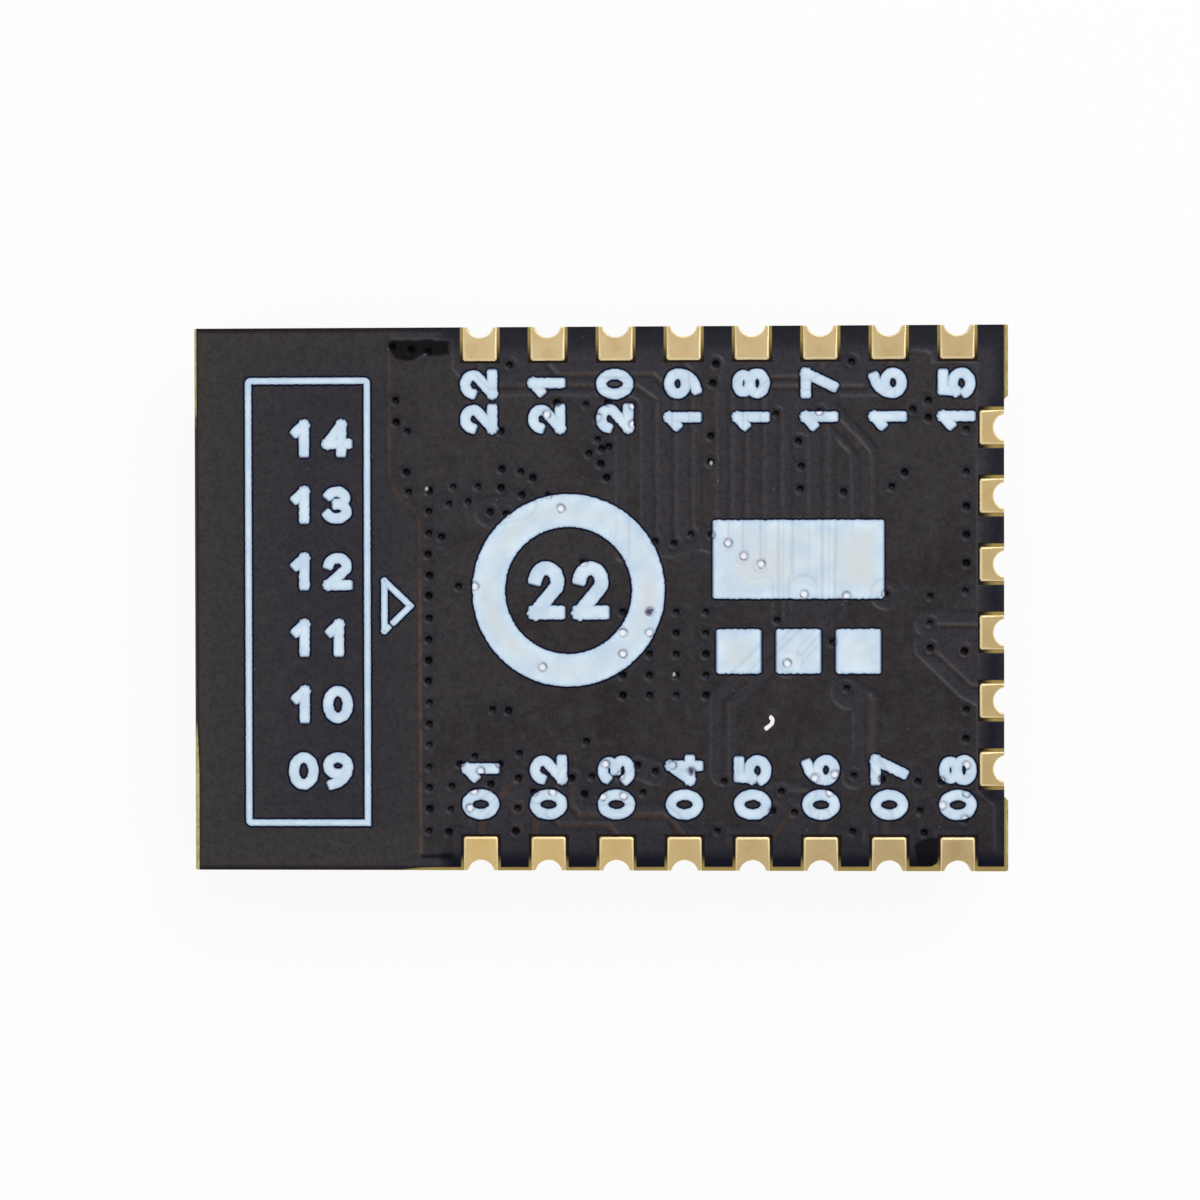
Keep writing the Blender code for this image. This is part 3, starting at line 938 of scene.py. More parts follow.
@dataclass(frozen=True)
class PadRows:
    """Places and sizes of the castellated pads.

    Attributes:
        pitch: From pad to pad.
        side_count: Pads on each long edge.
        end_count: Pads on the short edge.
        last_side: X of the side pads next to the pad end.
        land_width: Width of a land along the edge.
        side_depth: Depth of a land on a long edge.
        end_depth: Depth of a land on the short edge.
        hole_radius: Radius of the plated half-hole.
        hole_outset: Its centre outside the board edge.
        plating: Wall of the barrel.
    """

    pitch: float = 2.0
    side_count: int = 8
    end_count: int = 6
    last_side: float = 10.5
    land_width: float = 1.02
    side_depth: float = 1.00
    end_depth: float = 0.72
    hole_radius: float = 0.40
    hole_outset: float = 0.09
    plating: float = 0.03

    def side_x(self) -> Array:
        """X of the side pads, from the antenna end on."""
        return self.last_side - self.pitch * np.arange(self.side_count)[::-1]

    def end_y(self) -> Array:
        """Y of the end pads, from the lower edge up."""
        return self.pitch * (np.arange(self.end_count) - (self.end_count - 1) / 2)


@dataclass(frozen=True)
class Track:
    """One copper track, or the bare strip that is kept free along a path.

    Attributes:
        path: Corners of its middle line.
        width: Full width.
        tint: How much brown shows through the mask, from 0 to 1.
        thin: Whether the brown shows only as a line along the right and upper edge.
    """

    path: Path
    width: float = 0.10
    tint: float = 1.0
    thin: bool = True


@dataclass
class SolderSide:
    """Copper, vias and film of the solder side, as fields over the plan.

    Attributes:
        stack: The board's heights and outline.
        pads: The pad rows.
        film: Thickness of the mask on bare laminate.
        copper: Height of the mask over copper above that.
        clearance: Bare strip along each track.
        pour: Outline of the ground copper.
        tracks: The tracks that show.
        channels: Strips without copper.
        clearing: Outline of the bare field beside the end pads.
        fence: X, first Y, step and count of the row of vias along the antenna's ground edge.
        heat_x: X of the columns of heat vias under the chip.
        heat_y: Y of their rows.
        vias: Places of the other vias.
        rings: Places of the two wide rings.
        touched: Outlines of the spots where the film was touched up.
        glints: Places of the painted highlights in vias.
        bared: Places of the vias with a brown ring of thin film.
        upper_shade: How much painted shade the film gets by its distance from the upper edge.
        lower_shade: The same for the lower edge.
        end_shade: The same by X, between the pads of the pad end.
        corner_shade: The same by X, at the corners of that end.
        open_shade: How dark the open antenna end is, by X.
        via_radius: Radius of a filled via.
        swell: Height of the swell round a via.
        waves: Height of the film's own waves.
        sunk: Share of the film that is missing in a via.
        thin_line: Shift along X and Y, and half width, of the brown line on a thin track.
        light: Step towards the light, which decides where painted highlight and painted shade go.
    """

    stack: Stack
    pads: PadRows
    film: float = 0.024
    copper: float = 0.030
    clearance: float = 0.21
    pour: Path = (
        (-6.22, 7.64), (-6.22, 3.80), (-6.17, 3.50), (-6.04, 3.13), (-5.82, 2.86), (-5.50, 2.59),
        (-5.34, 2.28), (-5.30, 1.20), (-5.30, -7.50), (-4.28, -7.50), (-4.28, -6.70),
        (-3.86, -6.70), (-3.86, -6.30), (-2.85, -5.20), (-2.72, -5.00), (-2.40, -4.87),
        (-2.08, -4.98), (-1.96, -5.30), (-2.00, -6.00), (-1.30, -6.10), (-1.28, -5.25),
        (-1.12, -4.95), (-0.85, -4.84), (-0.58, -4.90), (-0.42, -5.15), (-0.44, -6.03),
        (2.00, -6.03), (2.32, -6.30), (2.64, -6.70), (3.22, -6.70), (3.22, -7.20), (3.72, -7.20),
        (3.75, -6.68), (4.80, -6.68), (4.70, -6.00), (4.95, -5.45), (5.40, -5.25), (5.95, -5.40),
        (6.15, -5.95), (6.22, -6.35), (6.75, -6.35), (6.82, -6.68), (7.12, -6.68), (7.12, -7.24),
        (7.74, -7.24), (7.74, -6.68), (8.05, -6.68), (8.05, -6.30), (8.60, -6.30), (8.62, -6.68),
        (9.22, -6.72), (9.24, -7.02), (9.82, -7.02), (9.85, -6.70), (11.10, -6.72), (11.12, -7.50),
        (11.55, -7.50), (11.54, -6.07), (11.05, -5.65), (11.05, 6.90), (9.75, 6.92), (9.72, 7.16),
        (9.55, 7.24), (9.20, 7.24), (9.04, 7.14), (9.00, 6.88), (8.75, 6.45), (8.30, 5.93),
        (7.05, 5.93), (7.00, 5.72), (7.30, 5.42), (8.20, 4.40), (8.20, 2.30), (7.40, 2.30),
        (7.38, 4.60), (7.22, 4.84), (6.97, 4.86), (6.95, 0.95), (6.13, 0.60), (6.12, 4.78),
        (5.70, 4.78), (5.68, 0.62), (5.10, 0.60), (4.50, 0.58), (4.14, 0.76), (3.93, 0.97),
        (3.44, 1.29), (2.97, 1.43), (2.64, 1.35), (2.20, 1.20), (1.60, 1.25), (1.30, 1.55),
        (1.23, 2.00), (1.23, 5.62), (1.12, 5.84), (0.90, 5.97), (-3.55, 5.97), (-3.85, 6.30),
        (-4.33, 6.80), (-4.33, 7.64),
    )
    tracks: tuple[Track, ...] = (
        Track((
            (-3.55, 7.1), (-3.55, 6.60), (-3.20, 6.245), (1.09, 6.245), (1.66, 5.85), (1.67, 1.72),
        )),
        Track((
            (-1.50, 7.1), (-1.50, 6.85), (-1.22, 6.57), (1.60, 6.57), (2.22, 5.95), (2.22, 1.66),
        )),
        Track(((2.50, 7.1), (2.50, 6.90), (2.72, 6.68), (2.73, 1.92))),
        Track(((3.44, 6.89), (3.25, 6.33), (3.25, 2.32)), 0.40, 0.12, False),
        Track(((4.50, 7.1), (4.50, 6.95), (3.87, 6.32), (3.87, 1.66))),
        Track(((6.50, 7.1), (6.50, 6.75), (6.24, 6.47), (4.90, 6.47), (4.30, 5.87), (4.30, 1.28))),
        Track(((8.50, 7.1), (8.50, 6.87), (7.82, 6.19), (5.05, 6.19), (4.81, 5.95), (4.81, 1.04))),
        Track(((5.21, 5.44), (5.33, 5.30), (5.33, -0.60))),
        Track(
            ((6.64, 5.20), (6.64, -0.03), (5.85, -0.82), (3.71, -2.97), (3.71, -5.15)), 0.15, 0.5
        ),
        Track(((6.75, 5.35), (7.55, 4.55), (7.83, 4.20), (7.83, 2.50)), 0.28, 0.6),
        Track(((7.10, -0.25), (5.90, -1.55)), 0.15, 0.5),
        Track(((9.70, -0.72), (9.85, -0.79), (11.20, -0.82)), 0.08, 0.6, False),
        Track(((9.70, -1.45), (10.87, -2.56), (11.20, -2.62)), 0.08, 0.8, False),
        Track(((7.91, -2.90), (7.91, -4.75), (8.29, -5.30)), 0.14, 0.7, False),
        Track(((6.49, -6.40), (6.49, -7.1)), 0.15, 0.6, False),
        Track(((8.32, -6.40), (8.32, -7.1)), 0.14, 0.6, False),
        Track(((5.03, -7.1), (5.75, -6.29)), 0.16, 0.9, False),
        Track(((-3.50, -7.1), (-3.50, -6.42), (-2.38, -5.30)), 0.15, 1.0, False),
        Track(((-1.91, -7.1), (-1.91, -6.30)), 0.14, 1.0, False),
        Track((
            (-0.83, -5.28), (-0.86, -6.07), (-0.62, -6.37), (1.81, -6.385), (2.06, -6.48),
            (2.50, -7.1),
        ), 0.14, 0.8, False),
        Track((
            (-1.50, -6.30), (-1.32, -6.56), (-1.175, -6.68), (0.245, -6.68), (0.60, -7.1),
        ), 0.14, 0.8, False),
        Track(((5.39, -5.70), (6.10, -5.72)), 0.12, 0.2),
    )
    channels: tuple[Track, ...] = (
        Track(((0.69, 4.70), (0.69, 1.30)), 0.42),
        Track(((-3.20, 2.57), (-2.30, 2.80)), 0.94),
        Track(((6.50, -0.10), (3.67, -3.00), (3.67, -5.10)), 0.84),
        Track(((5.53, -1.89), (5.60, -1.60)), 0.88),
        Track(((6.00, 0.25), (6.02, -0.10)), 0.90),
        Track(((7.25, -2.74), (7.35, -2.80)), 0.92),
        Track(((7.82, -3.00), (7.82, -4.60), (7.50, -5.19)), 0.80),
        Track(((1.10, -4.88), (1.66, -5.10)), 0.78),
        Track(((8.40, 0.13), (8.42, 0.13)), 0.92),
        Track(((9.66, -0.74), (11.10, -0.80)), 0.84),
        Track(((9.66, -1.40), (10.80, -2.52), (11.12, -2.70)), 0.86),
    )
    clearing: Path = (
        (9.66, -0.39), (11.12, -0.39), (11.12, -3.12), (10.90, -3.00), (10.66, -2.80),
        (9.70, -1.80), (9.40, -1.20),
    )
    fence: tuple[float, float, float, int] = (-5.02, 3.22, -0.627, 17)
    heat_x: tuple[float, ...] = (0.70, 1.48, 2.27, 3.14)
    heat_y: tuple[float, ...] = (-0.38, -1.00, -1.62, -2.24, -2.83)
    vias: Path = (
        (-5.99, 5.86), (-5.97, 5.22), (-5.64, 4.95), (-5.67, 3.75), (-5.61, 3.16), (-4.64, 1.84),
        (-4.29, 3.31), (-4.41, 2.81), (-4.14, 0.38), (-4.35, -5.51), (-4.38, -6.19), (-4.44, -6.86),
        (-6.08, 7.45), (-5.52, 7.36), (-5.02, 7.30), (-2.62, 6.89), (-2.88, 4.95), (-0.38, 5.72),
        (1.0, 5.66), (1.0, 5.13), (-0.03, 4.69), (0.09, 4.42), (0.29, 4.48), (-0.29, 4.28),
        (0.06, 3.98), (0.23, 3.57), (-2.85, 3.83), (-2.29, 3.75), (-1.94, 3.57), (-3.56, 3.32),
        (-2.88, 3.28), (-2.26, 3.07), (-3.85, 2.87), (3.44, 6.89), (3.35, 6.33), (3.29, 4.78),
        (3.29, 4.01), (-0.47, 1.07), (1.65, 1.69), (2.2, 1.63), (2.7, 1.9), (3.29, 1.87),
        (3.79, 1.63), (4.25, 1.25), (4.76, 1.01), (7.41, 6.94), (5.2, 5.42), (5.86, 4.62),
        (6.46, 5.48), (9.65, 5.8), (9.2, 5.54), (9.65, 5.3), (10.76, 4.95), (5.94, 3.89),
        (5.91, 3.22), (8.96, 3.7), (8.58, 3.28), (7.18, 3.13), (10.76, 3.72), (10.76, 2.7),
        (10.76, 1.87), (10.76, 1.04), (10.73, 0.22), (9.7, 0.07), (9.7, -0.72), (9.7, -1.45),
        (10.7, -1.54), (6.02, 0.13), (5.52, -1.9), (7.26, -2.63), (10.76, -3.25), (7.26, 0.07),
        (5.23, -0.63), (6.85, -1.28), (-3.14, -3.25), (-2.67, -3.28), (-0.38, -4.19),
        (-2.35, -4.54), (-2.94, -4.86), (-2.38, -5.27), (-0.82, -5.27), (-0.22, -5.22),
        (1.12, -4.89), (1.65, -5.07), (1.29, -5.69), (-0.44, -5.74), (2.7, -5.07), (3.67, -5.36),
        (-3.7, -5.66), (-2.41, -6.16), (-2.47, -6.83), (-3.82, -6.16), (3.47, -6.83), (5.35, -5.66),
        (5.08, -6.22), (5.73, -6.27), (6.91, -5.16), (7.46, -5.19), (9.34, -5.36), (9.4, -6.22),
        (7.43, -6.83), (9.52, -6.86), (10.71, -6.48), (10.76, -4.89), (10.02, -5.36), (-3.67, 0.37),
        (-1.5, 3.06), (-1.12, 2.66), (-2.73, 2.51), (-1.67, -2.01), (-1.53, 5.42), (-1.23, 5.77),
        (0.26, 5.77), (-0.03, 5.33), (-3.67, -4.63), (-4.11, -4.86), (-3.5, -5.07), (-3.2, -5.45),
        (-1.94, -5.69), (-1.38, -5.69), (0.18, -4.86), (0.62, -5.2), (0.09, -5.83), (0.71, -5.8),
        (2.15, -4.89), (6.32, -5.27), (6.76, -5.69), (8.29, -5.3), (10.74, -4.1), (10.76, -5.72),
        (10.05, -6.07),
    )
    rings: Path = ((-3.20, 2.57), (8.40, 0.13))
    touched: tuple[Path, ...] = (
        (
            (-6.16, 7.62), (-6.18, 7.30), (-5.98, 7.06), (-5.62, 7.02), (-5.25, 7.14),
            (-4.40, 7.20), (-4.38, 7.62),
        ),
        ((9.26, -7.22), (9.40, -7.08), (9.93, -6.98), (9.93, -7.88), (9.30, -7.88)),
        ((-5.26, -7.54), (-4.36, -7.50), (-4.36, -7.68), (-5.26, -7.64)),
    )
    glints: Path = ((-5.08, 3.25), (2.20, -2.22), (3.30, 3.98))
    bared: Path = ((-2.47, -6.83), (10.70, -1.54), (-2.41, -6.16))
    upper_shade: Path = (
        (0.20, 0.60), (0.50, 0.49), (0.60, 0.37), (0.70, 0.20), (0.80, 0.06), (0.95, 0.0),
    )
    lower_shade: Path = (
        (0.20, 0.96), (0.30, 0.94), (0.40, 0.78), (0.50, 0.58), (0.60, 0.36), (0.80, 0.22),
        (1.00, 0.20), (1.80, 0.0),
    )
    end_shade: Path = ((11.14, 0.0), (11.30, 0.36), (11.50, 0.66), (11.62, 0.68), (11.80, 0.50))
    corner_shade: Path = ((11.48, 0.0), (11.64, 0.34), (11.80, 0.55))
    open_shade: Path = (
        (-11.6, 0.0), (-10.5, 0.40), (-9.5, 0.62), (-8.5, 0.92), (-7.5, 1.0), (-6.5, 0.80),
        (-5.5, 0.42),
    )
    via_radius: float = 0.105
    swell: float = 0.007
    waves: float = 0.0012
    sunk: float = 0.90
    thin_line: Triple = (0.035, 0.02, 0.018)
    light: Point = (0.015, 0.013)

    def via_places(self) -> Array:
        """All via places: the fence, the heat grid, the scattered ones and the two in the rings."""
        x, first, step, count = self.fence
        fence = np.stack((np.full(count, x), first + step * np.arange(count)), axis=1)
        fence += np.random.default_rng(31).uniform(-0.022, 0.022, fence.shape)
        heat = np.stack(np.meshgrid(self.heat_x, self.heat_y), axis=-1).reshape(-1, 2)
        return np.concatenate((fence, heat, np.array(self.vias), np.array(self.rings)))

    def copper_fields(self, x: Array, y: Array) -> tuple[Array, Array]:
        """Signed distance to copper, and how brown the tracks show.

        Copper is the tracks, and the pour without the strips beside them, channels and clearing.

        Args:
            x: Places along X.
            y: Places along Y.

        Returns:
            Signed distances, negative on copper, and tints from 0 to 1.
        """
        track = np.full(x.shape, np.inf)
        tint = np.zeros(x.shape)
        right, up, half_line = self.thin_line
        for item in self.tracks:
            away = path_distance(x, y, item.path) - item.width / 2
            track = np.minimum(track, away)
            if item.thin:
                away = path_distance(x - right, y - up, item.path) - half_line
            tint = np.maximum(tint, item.tint * smoothstep(away, 0.025, -0.025))
        bare = np.minimum(track - self.clearance, outline_distance(x, y, self.clearing))
        for item in self.channels:
            bare = np.minimum(bare, path_distance(x, y, item.path) - item.width / 2)
        pour = outline_distance(x, y, self.pour) + 0.010 * ripple(x, y, 0.8, 3)
        return np.minimum(np.maximum(pour, -bare), track), tint

    def nearest_via(self, x: Array, y: Array) -> tuple[Array, Array, Array]:
        """Offset from the middle of the nearest via, found over the vias one by one.

        Args:
            x: Places along X.
            y: Places along Y.

        Returns:
            Offsets along X and Y, and a fixed random number from 0 to 1 per via.
        """
        places = self.via_places()
        best = np.full(x.shape, np.inf)
        number = np.zeros(x.shape, int)
        for index, (via_x, via_y) in enumerate(places):
            away = (x - via_x) ** 2 + (y - via_y) ** 2
            number = np.where(away < best, index, number)
            best = np.minimum(best, away)
        own = np.random.default_rng(29).uniform(size=len(places))
        return x - places[number, 0], y - places[number, 1], own[number]

    def via_distance(self, dx: Array, dy: Array, own: Array) -> Array:
        """Distance from a via's middle, a little more or less by the via's own number."""
        return np.hypot(dx, dy) + 0.025 * (own - 0.5)

    def height(self, x: Array, y: Array) -> Array:
        """Top of the film: bare film, a soft step over copper and a swell round each via.

        The whole is sunk to a pit in the via itself.

        Args:
            x: Places along X.
            y: Places along Y.

        Returns:
            Heights above the floor.
        """
        away = self.copper_fields(x, y)[0]
        via = self.via_distance(*self.nearest_via(x, y))
        land = smoothstep(via, 0.26, 0.17)
        step = self.copper * np.maximum(smoothstep(away, 0.055, -0.050), land)
        step += self.swell * bell(via, 0.20, 0.045)
        pit = smoothstep(via, self.via_radius + 0.105, self.via_radius - 0.030)
        film = (self.film + step + self.waves * ripple(x, y, 0.9, 5)) * (1.0 - self.sunk * pit)
        return self.stack.laminate_back + film

    def edge_shade(self, x: Array, y: Array) -> Array:
        """Painted shade on the film towards the board's edges, by the darkest of their curves.

        Args:
            x: Places along X.
            y: Places along Y.

        Returns:
            Shares of the painted shade colour.
        """
        edge = self.stack.half_width - np.abs(y)
        left = self.stack.half_length + x
        gap = np.where(y < 0, curve(edge, self.lower_shade), curve(edge, self.upper_shade))
        end = curve(x - 0.02 * y, self.end_shade) * (1.0 - 0.025 * y)
        end += (curve(x, self.corner_shade) - end) * smoothstep(np.abs(y), 5.75, 6.15)
        gap = np.maximum(gap * smoothstep(x, -4.9, -4.3), end)
        line = np.maximum(smoothstep(edge, 0.20, 0.05) * 0.75, smoothstep(left, 0.21, 0.11) * 0.65)
        return np.maximum(gap, line)

    def values(self, x: Array, y: Array) -> dict[str, Array]:
        """What the film's material reads, each from 0 to 1.

        Args:
            x: Places along X.
            y: Places along Y.

        Returns:
            Copper below, brown tracks, painted highlight where the film runs off copper towards
            the light (right or up) and painted shade where it runs off away from it, the antenna's
            ground edge, vias with a painted shadow in their pits, inner copper, painted highlights
            in a few vias, the dark film round them, the open antenna end, painted shade at the
            board edges and touched-up spots.
        """
        away, tint = self.copper_fields(x, y)
        dx, dy, own = self.nearest_via(x, y)
        via = self.via_distance(dx, dy, own)
        # Painted lit patch in a via's pit, on the side towards the light.
        painted_lit_bowl = smoothstep(np.hypot(dx + 0.012, dy + 0.050), 0.085, 0.030) * (0.25 + 0.75 * own)
        # Painted highlights in a few vias.
        glints = [np.hypot(x - spot_x, (y - spot_y) / 1.5) for spot_x, spot_y in self.glints]
        spots = [outline_distance(x, y, outline) for outline in self.touched]
        touched = np.minimum.reduce(spots) + 0.025 * ripple(x, y, 0.5, 11)
        rim = np.minimum(self.stack.half_length + x - 0.1, self.stack.half_width - np.abs(y))
        tint = np.maximum(tint, 0.45 * smoothstep(rim, 0.45, 0.05) * smoothstep(x, -5.4, -6.4))
        outer = smoothstep(x, -5.15, -5.28) + smoothstep(x, -5.6, -5.7) * smoothstep(y, 2.0, 2.6)
        outer = np.clip(outer, 0.0, 1.0) * (0.45 + 0.55 * smoothstep(y, 1.6, -0.4)) * (y < 7.3)
        # Band beside copper edges: painted highlight on the side towards the light, painted shade
        # on the other.
        slope = bell(away, 0.03, 0.047) * (1.0 - smoothstep(via, 0.2, 0.1)) * (1.0 - 0.7 * tint)
        facing = (self.copper_fields(x + self.light[0], y + self.light[1])[0] - away) / 0.02
        for spot_x, spot_y in self.bared:
            tint = np.maximum(tint, bell(np.hypot(x - spot_x, y - spot_y), 0.175, 0.035))
        # The pit gets a painted shadow, lighter in the painted lit patch.
        pit = smoothstep(via, self.via_radius + 0.035, self.via_radius - 0.030)
        inside = smoothstep(y, 2.0, -0.5) * smoothstep(x, -4.0, -1.0)
        outside = curve(x, self.open_shade) * smoothstep(y, -7.0, -6.5)
        outside *= 1.0 - 0.6 * smoothstep(y, 5.8, 7.4)
        return {
            "copper": smoothstep(away, 0.03, -0.03),
            "track": tint,
            "slope": slope * np.clip(facing, 0.0, 1.0),
            "lee": slope * np.clip(-facing, 0.0, 1.0),
            "seam": bell(away, -0.03, 0.065) * outer,
            "pit": pit * (1.0 - 0.85 * painted_lit_bowl),
            "plane": np.where(x < -5.3, outside, inside),
            "glint": smoothstep(np.minimum.reduce(glints), 0.055, 0.020),
            "halo": smoothstep(via, 0.45, 0.14),
            "open": smoothstep(x, -5.15, -5.45) * smoothstep(away, -0.02, 0.02),
            # Painted shade towards the board's edges and between the pads.
            "shade": self.edge_shade(x, y),
            "touched": smoothstep(touched, 0.04, -0.04) * 0.84,
        }


# Pieces


@dataclass
class BackFilm:
    """Solder mask of the solder side, as a relief in tiles.

    Attributes:
        side: The layout that shapes it.
        finish: Its finish.
        cell: Cell of the fine grid.
        coarse: Cell over the bare antenna end.
        opening: Bare strip left and right of a land.
        end_opening: The same at the pad end.
        inner: Bare strip at a land's inner end.
        end_inner: The same at the pad end.
        left: X of the film's edge at the antenna end.
        lower: Y of its lower edge.
        skew: Rise of that edge along X.
        upper: Y of its upper edge.
        end: How far it stops short of the pad end.
        tiles: Number of tiles.
        fine: X where the fine cells start.
        rubbed: X, half width and height of the spot that is rubbed off the lower edge.
        lowered: How far that edge reaches further down at the antenna end.
        drawn: How far the edge at the antenna end draws back.
    """

    side: SolderSide
    finish: MaskFinish
    cell: float = 0.031
    coarse: float = 0.09
    opening: float = 0.08
    end_opening: float = 0.10
    inner: float = 0.070
    end_inner: float = 0.045
    left: float = -11.89
    lower: float = -7.89
    skew: float = 0.0032
    upper: float = 7.995
    end: float = 0.008
    tiles: int = 4
    fine: float = -6.6
    rubbed: Triple = (9.96, 0.14, 0.14)
    lowered: float = 0.07
    drawn: float = 0.05

    def lines(self, breaks: Sequence[float], fine_from: float) -> Array:
        """Grid lines that run through every break, with even steps between.

        Args:
            breaks: Places that a line has to meet.
            fine_from: Where the fine cells start.

        Returns:
            The places of all lines.
        """
        stops = np.unique(np.round(breaks, 6))
        runs = []
        for low, high in zip(stops[:-1], stops[1:]):
            cell = self.cell if high > fine_from else self.coarse
            count = max(1, math.ceil((high - low) / cell))
            runs.append(np.linspace(low, high, count, endpoint=False))
        return np.concatenate(runs + [stops[-1:]])

    def build(self) -> None:
        """Make the tiles: a grid over the plan without the openings, with a skirt at every edge."""
        stack, pads = self.side.stack, self.side.pads
        half = pads.land_width / 2 + self.opening
        end_half = pads.land_width / 2 + self.end_opening
        deep_y = stack.half_width - pads.side_depth - self.inner
        deep_x = stack.end_edge - pads.end_depth - self.end_inner
        right = stack.end_edge - self.end
        side_x, end_y = pads.side_x(), pads.end_y()
        across = [self.left, self.fine, *(side_x - half), *(side_x + half), deep_x, right]
        up = [self.lower, -deep_y, *(end_y - end_half), *(end_y + end_half), deep_y, self.upper]
        xs, ys = self.lines(across, self.fine), self.lines(up, -math.inf)
        cx, cy = (xs[1:] + xs[:-1]) / 2, (ys[1:] + ys[:-1]) / 2
        over_side = (np.abs(cx[:, None] - side_x) < half).any(axis=1)
        over_end = (np.abs(cy[:, None] - end_y) < end_half).any(axis=1)
        kept = ~(over_side[:, None] & (np.abs(cy) > deep_y)) & ~((cx > deep_x)[:, None] & over_end)
        around = np.pad(kept, 1)
        cuts = np.linspace(0, len(cx), self.tiles + 1).round().astype(int)
        material = self.finish.material()
        for number, (start, stop) in enumerate(zip(cuts[:-1], cuts[1:]), 1):
            tile = self.tile(xs[start : stop + 1], ys, around[start : stop + 2])
            add_piece(f"back_mask_{number}", tile, material, ["solder_mask_back"])

    def tile(self, xs: Array, ys: Array, around: Array) -> Surface:
        """One tile: top cells at the film's height, and a wall down to the laminate at each edge.

        The lower edge runs a little askew, reaches further down at the antenna end and is rubbed
        off beside the last pad. The edge at the antenna end draws back towards its lower corner.

        Args:
            xs: Grid lines along X.
            ys: Grid lines along Y.
            around: Which cells are film, with one more cell on each side.

        Returns:
            The tile's mesh.
        """
        x, y = (a.ravel() for a in np.meshgrid(xs, ys, indexing="ij"))
        spot, spread, rise = self.rubbed
        lift = self.skew * x + rise * bell(x, spot, spread)
        lift -= self.lowered * smoothstep(x, -5.0, -6.0)
        drawn = self.drawn * smoothstep(y, -3.6, -5.2) * smoothstep(x, -11.4, self.left)
        x, y = x + drawn, y + lift * smoothstep(y, -7.0, self.lower)
        top = np.stack((x, y, self.side.height(x, y)), axis=1)
        base = np.stack((x, y, np.full(x.shape, self.side.stack.laminate_back)), axis=1)
        index = np.arange(len(x)).reshape(len(xs), len(ys))
        a, b, c, d = index[:-1, :-1], index[1:, :-1], index[1:, 1:], index[:-1, 1:]
        kept = around[1:-1, 1:-1]
        quads = [np.stack((a, b, c, d), axis=-1)[kept]]
        sides = (
            (around[:-2, 1:-1], a, d),
            (around[1:-1, :-2], b, a),
            (around[2:, 1:-1], c, b),
            (around[1:-1, 2:], d, c),
        )
        for other, first, second in sides:
            edge = kept & ~other
            p, q = first[edge], second[edge]
            quads.append(np.stack((p, q, q + len(x), p + len(x)), axis=-1))
        used, corners = np.unique(np.concatenate(quads), return_inverse=True)
        points = np.concatenate((top, base))[used]
        values = self.side.values(points[:, 0], points[:, 1])
        return Surface(points, corners.reshape(-1, 4), values=values, plan=True)


